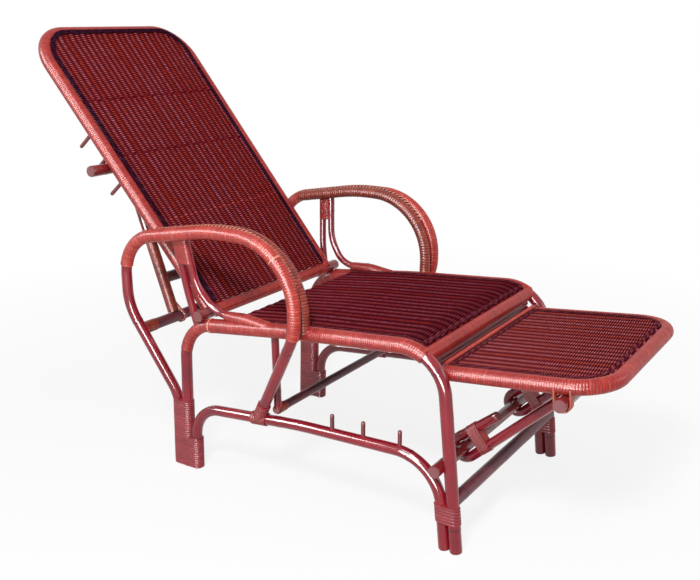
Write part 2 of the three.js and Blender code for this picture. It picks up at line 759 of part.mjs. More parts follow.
function buildLegRest() {
  const rest = new THREE.Group();
  const hoop = hoopRoute(legRestHalf, legRestHalf, -legRestLength, legRestCorner, -legRestDrop);
  const pivotSolid = bar(frameHalf - mainR - gap, 0, 0, pivotR);
  const pivotGrown = bar(frameHalf, 0, 0, pivotR + gap);
  rest.add(meshOf('legrest_hoop', cutBy(tube(hoop, legRestR), [pivotGrown]), finishes.bound()));
  rest.add(meshOf('legrest_pivot_bar', pivotSolid, finishes.cane()));
  rest.add(meshOf('legrest_panel',
    hoopPanel(hoop, legRestR, legRestPanelRise, legRestRibs, [pivotGrown]), finishes.woven()));
  const hoopGrown = tube(hoop, legRestR + gap);
  for (const side of [1, -1]) {
    const name = sideName(side);
    const reach = rodR + gap + strandR;
    const strap = sling(side * legRestHalf, rodR, hingeRodDrop - legRestDrop, reach);
    const strapSolid = tube(new Route(strap.points.map((point) => (
      new THREE.Vector3(point.x, point.z - hingeRodAt, point.y - hingeRodDrop)
    ))), strandR, strandSides);
    rest.add(meshOf(`legrest_strap_${name}`, cutBy(strapSolid, [hoopGrown]), finishes.bark()));
  }
  rest.position.set(0, pivotY, pivotZ);
  rest.rotation.x = -legRestRise;
  return rest;
}

// Leg rest prop: modelled along Y from the hinge rod, then turned down towards the notch rod
const restRun = yz(-Math.cos(legRestRise), Math.sin(legRestRise));
const restDown = yz(-restRun.y, restRun.x);
const hingeRod = yz(pivotY, pivotZ)
  .addScaledVector(restRun, hingeRodAt)
  .addScaledVector(restDown, hingeRodDrop);
const legPropRun = notch.clone().sub(hingeRod);
const legPropLength = legPropRun.length();

function buildLegProp() {
  const prop = new THREE.Group();
  const reach = rodR + gap + legPropR;
  const far = legPropLength + reach;
  const drop = far * Math.tan(Math.asin(reach / legPropLength));
  const hingeGrown = bar(hingeRodHalf, 0, 0, rodR + gap);
  for (const side of [1, -1]) {
    const x = side * legPropHalf;
    const pin = bentRoute([
      { at: new THREE.Vector3(x, 0, 0) },
      { at: new THREE.Vector3(x, far, -drop), bend: reach },
      { at: new THREE.Vector3(x, far, reach), bend: reach },
      { at: new THREE.Vector3(x, legPropLength - legPropTail, reach) },
    ]);
    const runZ = (y) => -drop * (y / far);
    const bound = new Route(legPropBinding.map((back) => (
      new THREE.Vector3(x, legPropLength - back, (reach + runZ(legPropLength - back)) / 2)
    )));
    const halfRow = (reach - runZ(legPropLength - legPropBinding[0])) / 2;
    const ring = band(bound, halfRow, legPropR + bindingWall)
      .subtract(band(bound.longer(overrun), halfRow, legPropR - gap));
    const name = sideName(side);
    prop.add(meshOf(`legrest_prop_pole_${name}`, cutBy(tube(pin, legPropR), [hingeGrown]).add(ring),
      finishes.lacquered()));
  }
  prop.add(meshOf('legrest_hinge_rod', bar(hingeRodHalf, 0, 0, rodR), finishes.rod()));
  prop.add(meshOf('legrest_notch_rod', bar(notchRodHalf, legPropLength, 0, rodR), finishes.rod()));
  prop.position.set(0, hingeRod.x, hingeRod.y);
  prop.rotation.x = legPropRun.angle();
  return prop;
}

const chair = new THREE.Group();
chair.add(frame, buildBack(), buildBackProp(), buildLegRest(), buildLegProp());

// The origin is the middle of the footprint, on the floor
const group = new THREE.Group();
group.add(chair);
const box = new THREE.Box3().setFromObject(group);
chair.position.set(-(box.min.x + box.max.x) / 2, -(box.min.y + box.max.y) / 2, -box.min.z);

export default group;
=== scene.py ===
import math

import bpy
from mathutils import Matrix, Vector


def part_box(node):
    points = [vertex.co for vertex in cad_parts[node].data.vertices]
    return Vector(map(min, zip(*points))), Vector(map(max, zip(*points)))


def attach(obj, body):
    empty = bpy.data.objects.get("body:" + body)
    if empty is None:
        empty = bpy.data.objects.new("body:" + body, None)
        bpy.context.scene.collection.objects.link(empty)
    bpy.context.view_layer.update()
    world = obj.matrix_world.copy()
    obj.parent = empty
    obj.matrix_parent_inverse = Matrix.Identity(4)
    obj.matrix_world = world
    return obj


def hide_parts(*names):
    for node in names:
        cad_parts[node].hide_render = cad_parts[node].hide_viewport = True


# A reclining lounge chair of bent rattan poles: the poles and their cane windings, the woven seat,
# back and leg rest, the bindings of the joints, and the pegs and rods of the two props.
# X runs across the chair, the sitter faces -Y, and Z is up. The chair's own measures are written
# in millimetres and turned to metres by mm() or MM; the sizes of cane and strands are in metres.

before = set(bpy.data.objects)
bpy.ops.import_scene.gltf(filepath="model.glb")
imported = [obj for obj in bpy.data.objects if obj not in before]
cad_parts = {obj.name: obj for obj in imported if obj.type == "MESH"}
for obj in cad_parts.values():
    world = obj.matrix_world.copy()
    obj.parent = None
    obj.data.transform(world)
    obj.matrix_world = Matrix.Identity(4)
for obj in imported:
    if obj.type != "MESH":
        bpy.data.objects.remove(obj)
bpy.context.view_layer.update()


# Node trees, written as sums

class Value:
    """What a node gives out. It is used in sums as a number is, and each sum adds its node."""

    def __init__(self, tree, socket):
        self.tree = tree
        self.socket = socket

    def other(self, name):
        return Value(self.tree, self.socket.node.outputs[name])

    def sum(self, operation, *values):
        settings = {"operation": operation}
        return make(self.tree, "ShaderNodeMath", settings, dict(enumerate(values)))

    def __add__(self, other):
        return self.sum("ADD", self, other)

    def __radd__(self, other):
        return self.sum("ADD", other, self)

    def __sub__(self, other):
        return self.sum("SUBTRACT", self, other)

    def __rsub__(self, other):
        return self.sum("SUBTRACT", other, self)

    def __mul__(self, other):
        return self.sum("MULTIPLY", self, other)

    def __rmul__(self, other):
        return self.sum("MULTIPLY", other, self)

    def __truediv__(self, other):
        return self.sum("DIVIDE", self, other)

    def __rtruediv__(self, other):
        return self.sum("DIVIDE", other, self)

    def __pow__(self, other):
        return self.sum("POWER", self, other)

    def __rpow__(self, other):
        return self.sum("POWER", other, self)

    def sine(self):
        return self.sum("SINE", self)

    def cosine(self):
        return self.sum("COSINE", self)

    def size(self):
        return self.sum("ABSOLUTE", self)

    def part(self):
        return self.sum("FRACT", self)

    def whole(self):
        return self.sum("FLOOR", self)

    def sign(self):
        return self.sum("SIGN", self)

    def least(self, other):
        return self.sum("MINIMUM", self, other)

    def most(self, other):
        return self.sum("MAXIMUM", self, other)

    def above(self, other):
        return self.sum("GREATER_THAN", self, other)

    def below(self, other):
        return self.sum("LESS_THAN", self, other)

    def between(self, low, high):
        """0 at low, 1 at high, and held there beyond them."""
        return ((self - low) / (high - low)).most(0).least(1)


def make(tree, kind, settings=None, values=None, out=0):
    """A node of this kind, with its settings made first, then its sockets filled or linked."""
    node = tree.nodes.new(kind)
    for name, setting in (settings or {}).items():
        if name == "captures":
            for item, item_kind in setting.items():
                node.capture_items.new(item_kind, item)
        else:
            setattr(node, name, setting)
    for key, value in (values or {}).items():
        if isinstance(value, Value):
            tree.links.new(value.socket, node.inputs[key])
        else:
            node.inputs[key].default_value = value
    return None if out is None else Value(tree, node.outputs[out])


def point(tree, x=0.0, y=0.0, z=0.0):
    """A vector from its three numbers, each of which may be a node's."""
    return make(tree, "ShaderNodeCombineXYZ", None, {"X": x, "Y": y, "Z": z})


def vector_sum(tree, operation, *values, out=0):
    """One operation on vectors."""
    settings = {"operation": operation}
    return make(tree, "ShaderNodeVectorMath", settings, dict(enumerate(values)), out)


def stretched(tree, vector, scale):
    """A vector made longer or shorter by one number, which may be a node's."""
    values = {"Vector": vector, "Scale": scale}
    return make(tree, "ShaderNodeVectorMath", {"operation": "SCALE"}, values)


# Colours, written as they look and turned to the values that a shader takes

def stain(red, green, blue):
    """A colour as it looks on a screen, from 0 to 255, as the light that it stands for."""
    light = []
    for level in (red, green, blue):
        share = level / 255
        light.append(share / 12.92 if share <= 0.04045 else ((share + 0.055) / 1.055) ** 2.4)
    return tuple(light)


class Finish:
    """A material that is being made: its tree, its shader and the patterns it is drawn with."""

    def __init__(self, name, coat=0.0, coat_roughness=0.1, specular=0.25):
        self.material = bpy.data.materials.new(name)
        self.material.use_nodes = True
        self.tree = self.material.node_tree
        self.shader = self.tree.nodes["Principled BSDF"]
        self.shader.inputs["Coat Weight"].default_value = coat
        self.shader.inputs["Coat Roughness"].default_value = coat_roughness
        self.shader.inputs["Specular IOR Level"].default_value = specular

    def make(self, kind, settings=None, values=None, out=0):
        return make(self.tree, kind, settings, values, out)

    def place(self):
        return self.make("ShaderNodeTexCoord", None, None, "Object")

    def given(self, name, out="Fac"):
        """A number or vector that the piece's own mesh carries."""
        return self.make("ShaderNodeAttribute", {"attribute_name": name}, None, out)

    def noise(self, vector, scale, detail=3.0, roughness=0.55):
        values = {"Vector": vector, "Scale": scale, "Detail": detail, "Roughness": roughness}
        return self.make("ShaderNodeTexNoise", None, values)

    def drift(self, number):
        """Noise along one line, for a shade that changes slowly as the number grows."""
        values = {"W": number, "Scale": 1.0, "Detail": 1.0}
        return self.make("ShaderNodeTexNoise", {"noise_dimensions": "1D"}, values)

    def chance(self, number):
        return self.make("ShaderNodeTexWhiteNoise", {"noise_dimensions": "1D"}, {"W": number})

    def mixed(self, share, first, second):
        settings = {"data_type": "RGBA", "clamp_factor": True}
        values = {0: share, 6: colour_of(first), 7: colour_of(second)}
        return self.make("ShaderNodeMix", settings, values, 2)

    def darkened(self, colour, level):
        """A colour taken down by a number from 0 to 1."""
        settings = {"data_type": "RGBA", "blend_type": "MULTIPLY"}
        grey = self.make("ShaderNodeCombineColor", None, {0: level, 1: level, 2: level})
        values = {0: 1.0, 6: colour_of(colour), 7: grey}
        return self.make("ShaderNodeMix", settings, values, 2)

    def fill(self, name, value):
        self.tree.links.new(value.socket, self.shader.inputs[name])

    def finish(self, colour, roughness, height, depth):
        """Fills the shader, with the height as a bump of this depth in metres."""
        self.fill("Base Color", colour)
        self.fill("Roughness", roughness)
        values = {"Strength": 1.0, "Distance": depth, "Height": height}
        self.fill("Normal", self.make("ShaderNodeBump", None, values))
        return self.material


def colour_of(value):
    return value if isinstance(value, Value) else (*value, 1.0)


# Finishes

def turns_of(finish):
    """Where a point lies across its turn of cane, from 0 to 1, and how far along the strand."""
    along = finish.given("along")
    around = finish.given("around", "Vector")
    sides = finish.make("ShaderNodeSeparateXYZ", None, {"Vector": around})
    angle = sides.other("Y").sum("ARCTAN2", sides.other("Y"), sides) / math.tau
    turn = along + angle
    return turn.part(), angle - turn.whole()


def wound_cane(name, low, middle, high, wear_and_glint, roughness=0.32):
    """Split cane wound round a pole. The shade drifts along the strand, and fibres run with it.
    Wear and a painted highlight lighten each turn's ridge, and the grooves between turns are
    painted shade.
    """
    finish = Finish(name, coat=0.3, coat_roughness=0.16, specular=0.15)
    across, run = turns_of(finish)
    shade = finish.drift(run * 1.9).between(0.3, 0.7)
    streaks = finish.noise(point(finish.tree, across * 6, run * 2.5, 0.0), 1.0, 3.0)
    patches = finish.noise(finish.place(), 9.0, 2.0)
    tone = shade * 0.3 + streaks * 0.3 + patches * 0.6 - 0.1
    body = finish.mixed(tone.between(0.0, 0.55), low, middle)
    body = finish.mixed(tone.between(0.5, 1.0), body, high)
    ridge = (across * math.pi).sine()
    # Lighter wear and a painted highlight streak the ridge of each turn.
    body = finish.mixed(streaks.between(0.6, 0.8) * ridge * 0.4, body, wear_and_glint)
    # Painted shade in the grooves between the turns.
    groove = 0.25 + 0.75 * ridge.between(0.0, 0.55)
    height = ridge ** 0.5 * 0.6 + streaks * 0.25
    gloss = roughness + (1 - ridge) * 0.3 + patches * 0.12
    return finish.finish(finish.darkened(body, groove), gloss, height, 0.0004)


def lie_of(finish, share):
    """A point's place on its pole, its length drawn in to a share so that the grain runs long."""
    around = finish.given("around", "Vector")
    along = point(finish.tree, z=finish.given("along") * share)
    return vector_sum(finish.tree, "ADD", around, along)


def lacquered_cane(name, low, high, joint, roughness=0.14, coat=0.7):
    """A bare pole under lacquer, with long grain and a dark ring at each joint."""
    finish = Finish(name, coat_roughness=0.09, specular=0.15)
    grain = finish.noise(stretched(finish.tree, lie_of(finish, 0.35), 4.0), 3.0, 5.0, 0.65)
    patches = finish.noise(finish.place(), 7.0, 3.0)
    cut = finish.given("cut")
    tone = (grain * 0.55 + patches * 0.75 - 0.3).between(0.1, 0.75)
    body = finish.mixed(tone, low, high)
    body = finish.mixed(finish.given("ring") * 0.75, body, joint)
    body = finish.mixed(cut, body, stain(128, 72, 74))
    height = grain * 0.35 + patches * 0.3
    gloss = roughness + grain * 0.12 + cut * 0.5
    finish.fill("Coat Weight", coat - cut * coat)
    return finish.finish(body, gloss, height, 0.0004)


def bark_strip(name, low, high, fibre):
    """Broad strips of split bark that bind a joint, with coarse fibres along each strip and painted
    shade in the grooves between the strips.
    """
    finish = Finish(name, coat=0.15, coat_roughness=0.3, specular=0.2)
    across, run = turns_of(finish)
    shade = finish.drift(run * 1.3).between(0.3, 0.7)
    fibres = finish.noise(point(finish.tree, across * 14, run * 3.0, 0.0), 1.0, 4.0, 0.7)
    ridge = (across * math.pi).sine()
    tone = (shade * 0.5 + fibres * 0.8 - 0.25).between(0.0, 0.8)
    body = finish.mixed(tone, low, high)
    body = finish.mixed(fibres.between(0.6, 0.8) * 0.6, body, fibre)
    # Painted shade in the grooves between the strips.
    groove = 0.2 + 0.8 * ridge.between(0.0, 0.45)
    height = ridge ** 0.4 * 0.6 + fibres * 0.5
    return finish.finish(finish.darkened(body, groove), 0.38 + fibres * 0.25, height, 0.0008)


def woven_core(name, lit_crest, shaded_trough, glint, shadow, woven=False):
    """Thin core: its crests are painted lit, with painted glints on some, and it is painted in
    shade where it dips.

    In a woven panel each face has its own crests, and the grooves between the rows are darkened as
    painted shade.
    """
    finish = Finish(name, specular=0.0)
    side = finish.given("side")
    lift = finish.given("lift") * side.sign() if woven else finish.given("lift").size()
    row = finish.given("row")
    shade = finish.chance(row)
    patches = finish.noise(finish.place(), 9.0, 3.0)
    fibres = finish.noise(vector_sum(
        finish.tree, "MULTIPLY", finish.place(), (70.0, 700.0, 700.0)), 1.0, 3.0)
    # Painted light: the crest, where the core passes over a stake, is lit, and the trough, where it
    # dips under one, is painted shade.
    body = finish.mixed(lift.between(0.35, 0.85), shaded_trough, lit_crest)
    body = finish.mixed((shade * 0.7 + patches * 0.6 - 0.35).between(0.3, 0.9) * 0.5, body, shadow)
    column = finish.given("column")
    # Painted glints on the crests of some columns, in patches shaped like wear.
    glinting_columns = (column / 2).part().above(0.5) * 0.35 + finish.chance(column.whole()) * 0.65
    wear_and_glint = fibres.between(0.42, 0.58) * (patches * 0.6 + glinting_columns * 0.55 - 0.35).between(0.0, 0.45)
    body = finish.mixed(lift.between(0.6, 0.9) * wear_and_glint * 0.65, body, glint)
    if woven:
        # Painted shade on the sides of each row, in the grooves between the rows.
        body = finish.darkened(body, side.size().between(0.1, 0.8) * 0.6 + 0.4)
    return finish.finish(body, 0.34 + fibres * 0.25, fibres * 0.5, 0.0003)


def plain_cane(name, low, high, roughness=0.4, coat=0.3, specular=0.2):
    """Brown-stained cane of the inner pieces, with long grain and patches of wear."""
    finish = Finish(name, coat=coat, coat_roughness=0.2, specular=specular)
    cut = finish.given("cut")
    grain = finish.noise(stretched(finish.tree, lie_of(finish, 0.25), 5.0), 4.0, 5.0, 0.7)
    patches = finish.noise(finish.place(), 11.0, 3.0)
    body = finish.mixed((grain * 0.8 + patches * 0.6 - 0.35).between(0.1, 0.75), low, high)
    body = finish.mixed(finish.given("ring") * 0.6, body, tuple(level * 0.3 for level in low))
    body = finish.mixed(cut, body, stain(134, 80, 74))
    gloss = roughness + grain * 0.2 + cut * 0.3
    if coat:
        finish.fill("Coat Weight", coat - cut * coat)
    return finish.finish(body, gloss, grain * 0.6, 0.0004)


canes = {
    "bound": wound_cane("bound_cane", stain(122, 18, 20), stain(166, 38, 32), stain(200, 76, 60),
                        stain(232, 146, 130)),
    # The arms' copy of the bound cane is lighter, partly as a painted highlight on their tops.
    "arm_bound": wound_cane("bound_cane_of_the_arms", stain(134, 26, 24), stain(186, 54, 44),
                            stain(218, 98, 80), stain(240, 166, 148)),
    "inner_bound": wound_cane("bound_cane_of_the_inner_poles", stain(92, 20, 16),
                              stain(146, 54, 38), stain(176, 90, 66), stain(214, 140, 112)),
    "foot_bound": wound_cane("bound_cane_of_the_feet", stain(112, 20, 30), stain(150, 44, 52),
                             stain(178, 70, 72), stain(226, 140, 132), 0.42),
    "lacquered": lacquered_cane("lacquered_pole", stain(104, 8, 30), stain(170, 34, 44),
                                stain(54, 4, 16)),
    "rod": lacquered_cane("lacquered_rod", stain(96, 20, 26), stain(150, 46, 46),
                          stain(70, 16, 20), roughness=0.2),
    "strap": lacquered_cane("strap", stain(150, 50, 34), stain(200, 96, 70),
                            stain(120, 36, 34), roughness=0.3),
    "bark": bark_strip("split_bark", stain(118, 22, 28), stain(164, 54, 54), stain(212, 120, 108)),
    "back_weft": woven_core("woven_core_of_the_back", stain(208, 70, 52), stain(106, 30, 40),
                            stain(226, 156, 190), stain(122, 34, 44), True),
    "seat_weft": woven_core("woven_core_of_the_seat", stain(148, 44, 46), stain(66, 18, 32),
                            stain(160, 92, 114), stain(74, 18, 34), True),
    "rest_weft": woven_core("woven_core_of_the_leg_rest", stain(204, 84, 72), stain(98, 36, 48),
                            stain(214, 150, 168), stain(110, 34, 50), True),
    "band": woven_core("band_core", stain(120, 20, 26), stain(76, 10, 24), stain(172, 100, 124),
                       stain(54, 6, 14)),
    # The splints are very dark so that they stand in as painted shade where they show between the
    # rows.
    "stake": plain_cane("stake_under_the_weave_dark_as_painted_shade", stain(48, 6, 18), stain(72, 12, 28),
                        coat=0.0, specular=0.0),
    "braid": woven_core("braided_border", stain(112, 40, 48), stain(66, 16, 30),
                        stain(176, 124, 138), stain(56, 12, 28)),
    # The back border's dark colours are partly the braid's own and partly painted shade beside the
    # hoop.
    "dark_braid": woven_core("dark_border", stain(58, 14, 26), stain(34, 6, 18),
                             stain(112, 92, 142), stain(28, 4, 18)),
    "bead": woven_core("seam_bead", stain(214, 146, 124), stain(88, 24, 22), stain(242, 200, 184),
                       stain(130, 56, 46)),
    "tie": wound_cane("cane_tie", stain(206, 110, 84), stain(236, 160, 128), stain(250, 192, 160),
                      stain(252, 214, 190)),
    "brown": plain_cane("brown_cane", stain(62, 20, 38), stain(130, 64, 70)),
    "peg": plain_cane("peg_wood", stain(92, 26, 28), stain(138, 60, 54), roughness=0.35),
}


# Paths: a pole is straight between its corners and bent round an arc at each one

BEND_STEP = math.radians(3)
LOOK_STEP = 0.001


def bent_path(corners):
    """Points along a pole, from its corners and the bend at each inner one."""
    points = [corners[0][0]]
    for before, (corner, bend), after in zip(corners, corners[1:], corners[2:]):
        inward = (corner - before[0]).normalized()
        outward = (after[0] - corner).normalized()
        turn = inward.angle(outward)
        axis = inward.cross(outward).normalized()
        start = corner - inward * bend * math.tan(turn / 2)
        square = axis.cross(inward)
        centre = start + square * bend
        steps = max(1, math.ceil(turn / BEND_STEP))
        for step in range(steps + 1):
            angle = turn * step / steps
            points.append(centre - square * bend * math.cos(angle)
                          + inward * bend * math.sin(angle))
    points.append(corners[-1][0])
    return points


def marks(points):
    """How far along its path each point is."""
    reached = [0.0]
    for before, after in zip(points, points[1:]):
        reached.append(reached[-1] + (after - before).length)
    return reached


def point_along(points, distance):
    """The place on a path at a distance along it."""
    reached = marks(points)
    distance = min(max(distance, 0.0), reached[-1])
    for index in range(1, len(points)):
        if reached[index] >= distance:
            share = (distance - reached[index - 1]) / (reached[index] - reached[index - 1])
            return points[index - 1].lerp(points[index], share)
    return points[-1]


def stretch_of(points, start, end):
    """The part of a path between two distances along it."""
    reached = marks(points)
    inner = [spot for spot, mark in zip(points, reached) if start < mark < end]
    return [point_along(points, start), *inner, point_along(points, end)]


def where(points, test):
    """How far along its path a pole first passes a test."""
    length = marks(points)[-1]
    steps = math.ceil(length / LOOK_STEP)
    for step in range(steps + 1):
        distance = length * step / steps
        if test(point_along(points, distance)):
            return distance
    return length


def height_at(points, y, floor):
    """Height of a path above a place along Y, on its stretch above the given height."""
    for before, after in zip(points, points[1:]):
        if after.z > floor and after.y <= y < before.y:
            return before.z + (after.z - before.z) * (y - before.y) / (after.y - before.y)
    return points[-1].z


# Growing pieces along paths

NUMBER = "NodeSocketFloat"
COUNT = "NodeSocketInt"
DIRECTION = "NodeSocketVector"
FINISH = "NodeSocketMaterial"


def open_tree(name, sizes):
    """A new tree, its inputs, and the paths that it is given."""
    tree = bpy.data.node_groups.new(name, "GeometryNodeTree")
    tree.interface.new_socket("Paths", in_out="INPUT", socket_type="NodeSocketGeometry")
    for size, kind in sizes.items():
        tree.interface.new_socket(size, in_out="INPUT", socket_type=kind)
    tree.interface.new_socket("Finish", in_out="INPUT", socket_type=FINISH)
    tree.interface.new_socket("Piece", in_out="OUTPUT", socket_type="NodeSocketGeometry")
    given = make(tree, "NodeGroupInput")
    path = make(tree, "GeometryNodeMeshToCurve", None, {"Mesh": given})
    return tree, given, path


def close_tree(tree, given, geometry, crease=math.radians(75)):
    """Smooth faces with a crease at sharp edges, then the finish."""
    whole = make(tree, "GeometryNodeRealizeInstances", None, {"Geometry": geometry})
    smooth = make(tree, "GeometryNodeSetShadeSmooth", {"domain": "FACE"}, {"Geometry": whole})
    bend = make(tree, "GeometryNodeInputMeshEdgeAngle")
    edged = make(tree, "GeometryNodeSetShadeSmooth", {"domain": "EDGE"}, {
        "Geometry": smooth, "Selection": bend.above(crease), "Shade Smooth": False})
    done = make(tree, "GeometryNodeSetMaterial", None, {
        "Geometry": edged, "Material": given.other("Finish")})
    make(tree, "NodeGroupOutput", None, {0: done}, None)
    return tree


def carry(tree, geometry, name, value, kind="FLOAT"):
    """Writes a number or vector on each point, under a name that a finish reads."""
    return make(tree, "GeometryNodeStoreNamedAttribute", {"data_type": kind, "domain": "POINT"}, {
        "Geometry": geometry, "Name": name, "Value": value})


def carried(tree, name):
    """A number that the points of a path carry."""
    return make(tree, "GeometryNodeInputNamedAttribute", {"data_type": "FLOAT"}, {"Name": name})


def ring_of(tree, given):
    """A circle of radius 1 that keeps how far round it each point is, and its points' places."""
    circle = make(tree, "GeometryNodeCurvePrimitiveCircle", {"mode": "RADIUS"}, {
        "Resolution": given.other("Sides"), "Radius": 1.0})
    share = make(tree, "GeometryNodeSplineParameter")
    kept = make(tree, "GeometryNodeCaptureAttribute", {
        "domain": "POINT", "captures": {"Round": "FLOAT"}}, {"Geometry": circle, "Round": share})
    return kept, make(tree, "GeometryNodeInputPosition")


def outline_round(tree, given, radius):
    """A round outline, and how far round it each point is, from 0 to 1."""
    kept, position = ring_of(tree, given)
    sized = make(tree, "GeometryNodeSetPosition", None, {
        "Geometry": kept, "Position": stretched(tree, position, radius)})
    return sized, kept.other("Round")


def outline_pair(tree, given):
    """An outline round two poles side by side, each with its own radius."""
    kept, position = ring_of(tree, given)
    spot = make(tree, "ShaderNodeSeparateXYZ", None, {"Vector": position})
    side = (spot + 0.0001).sign()
    far = side.above(0)
    radius = given.other("Thickness") * (1 - far) + given.other("Far Thickness") * far
    sized = make(tree, "GeometryNodeSetPosition", None, {
        "Geometry": kept,
        "Position": point(tree, spot * radius + side * given.other("Spread"),
                          spot.other("Y") * radius, 0.0)})
    return sized, kept.other("Round")


def swept(tree, path, outline, step):
    """The outline drawn along the path, with each point's centre and distance along the path."""
    thin = carried(tree, "thin")
    stations = make(tree, "GeometryNodeResampleCurve", {"mode": "LENGTH"}, {
        "Curve": path, "Length": step})
    share = make(tree, "GeometryNodeSplineParameter")
    total = make(tree, "GeometryNodeSplineLength")
    kept = make(tree, "GeometryNodeCaptureAttribute", {
        "domain": "POINT", "captures": {"Centre": "VECTOR", "Along": "FLOAT", "Total": "FLOAT"}}, {
        "Geometry": stations, "Centre": make(tree, "GeometryNodeInputPosition"),
        "Along": share.other("Length"), "Total": total})
    solid = make(tree, "GeometryNodeCurveToMesh", None, {
        "Curve": kept, "Profile Curve": outline, "Scale": 1 - thin, "Fill Caps": True})
    return solid, kept.other("Centre"), kept.other("Along"), kept.other("Total")


def relieved(tree, solid, centre, scale):
    """Moves each point out from its centre by a scale, and holds everything above the floor."""
    position = make(tree, "GeometryNodeInputPosition")
    arm = vector_sum(tree, "SUBTRACT", position, centre)
    moved = vector_sum(tree, "ADD", centre, stretched(tree, arm, scale))
    spot = make(tree, "ShaderNodeSeparateXYZ", None, {"Vector": moved})
    level = point(tree, spot, spot.other("Y"), spot.other("Z").most(0.0))
    return make(tree, "GeometryNodeSetPosition", None, {"Geometry": solid, "Position": level})


JOINT_REACH = 0.0035
CUT_REACH = 0.0002


def pole_tree():
    """A bare cane pole that wavers a little, swells at each joint and has eased ends."""
    tree, given, path = open_tree("pole", {
        "Thickness": NUMBER, "Sides": COUNT, "Step": NUMBER, "Eased": NUMBER,
        "Joint Spacing": NUMBER, "Joint Rise": NUMBER, "Waver": NUMBER})
    thickness = given.other("Thickness")
    outline, share = outline_round(tree, given, thickness)
    solid, centre, along, total = swept(tree, path, outline, given.other("Step"))
    from_end = along.least(total - along)
    end = (1 - from_end / given.other("Eased")).most(0)
    spacing = given.other("Joint Spacing")
    phase = (along / spacing + 0.37).part()
    joint = (1 - (phase - 0.5).size() * spacing / JOINT_REACH).most(0)
    noise = make(tree, "ShaderNodeTexNoise", None, {
        "Vector": centre, "Scale": 14.0, "Detail": 1.0})
    waver = (noise - 0.5) * given.other("Waver")
    lift = joint * given.other("Joint Rise") + waver - end * end * given.other("Eased") * 0.8
    solid = relieved(tree, solid, centre, 1 + lift / thickness)
    solid = carry(tree, solid, "along", along)
    angle = share * math.tau
    around = point(tree, angle.cosine() * thickness, angle.sine() * thickness, 0.0)
    solid = carry(tree, solid, "around", around, "FLOAT_VECTOR")
    solid = carry(tree, solid, "ring", joint)
    cut = along.below(CUT_REACH).most((total - along).below(CUT_REACH))
    solid = carry(tree, solid, "cut", cut)
    return close_tree(tree, given, solid, math.radians(50))


def winding_tree(name, paired):
    """Flat cane wound round a pole, or round a row of poles, with a groove between the turns."""
    sizes = {"Thickness": NUMBER, "Sides": COUNT, "Strand": NUMBER, "Groove": NUMBER,
             "Unevenness": NUMBER}
    if paired:
        sizes.update({"Far Thickness": NUMBER, "Spread": NUMBER, "Row": DIRECTION})
    tree, given, path = open_tree(name, sizes)
    strand = given.other("Strand")
    thickness = given.other("Thickness")
    if paired:
        path = make(tree, "GeometryNodeSetCurveNormal", {"mode": "FREE"}, {
            "Curve": path, "Normal": given.other("Row")})
        outline, share = outline_pair(tree, given)
    else:
        outline, share = outline_round(tree, given, thickness)
    solid, centre, along, _ = swept(tree, path, outline, strand / 6)
    turn = along / strand + share
    ridge = (turn.part() * math.pi).sine()
    noise = make(tree, "ShaderNodeTexNoise", {"noise_dimensions": "1D"}, {
        "W": (share - turn.whole()) * 3.1, "Scale": 1.0, "Detail": 0.0})
    depth = (1 - ridge ** 0.6) * given.other("Groove") + (noise - 0.3) * given.other("Unevenness")
    solid = relieved(tree, solid, centre, 1 - depth / thickness)
    solid = carry(tree, solid, "along", along / strand)
    angle = share * math.tau
    around = point(tree, angle.cosine(), angle.sine(), 0.0)
    solid = carry(tree, solid, "around", around, "FLOAT_VECTOR")
    return close_tree(tree, given, solid)


def braid_tree():
    """Two cane strands twisted round each other along a path."""
    tree, given, path = open_tree("braid", {
        "Thickness": NUMBER, "Sides": COUNT, "Reach": NUMBER, "Twist": NUMBER})
    twist = given.other("Twist")
    stations = make(tree, "GeometryNodeResampleCurve", {"mode": "LENGTH"}, {
        "Curve": path, "Length": twist / 10})
    share = make(tree, "GeometryNodeSplineParameter")
    normal = make(tree, "GeometryNodeInputNormal")
    tangent = make(tree, "GeometryNodeInputTangent")
    square = vector_sum(tree, "CROSS_PRODUCT", tangent, normal)
    outline, _ = outline_round(tree, given, given.other("Thickness"))
    strands = []
    run = share.other("Length") / twist
    reach = given.other("Reach")
    for number in range(2):
        angle = (run + number / 2) * math.tau
        offset = vector_sum(
            tree, "ADD", stretched(tree, normal, angle.cosine() * reach),
            stretched(tree, square, angle.sine() * reach))
        strand = make(tree, "GeometryNodeSetPosition", None, {
            "Geometry": stations, "Offset": offset})
        strand = carry(tree, strand, "lift", angle.sine())
        strand = carry(tree, strand, "row", run)
        strands.append(make(tree, "GeometryNodeCurveToMesh", None, {
            "Curve": strand, "Profile Curve": outline, "Fill Caps": True}))
    joined = make(tree, "GeometryNodeJoinGeometry", None, {0: strands[0]})
    tree.links.new(strands[1].socket, joined.socket.node.inputs[0])
    return close_tree(tree, given, joined)


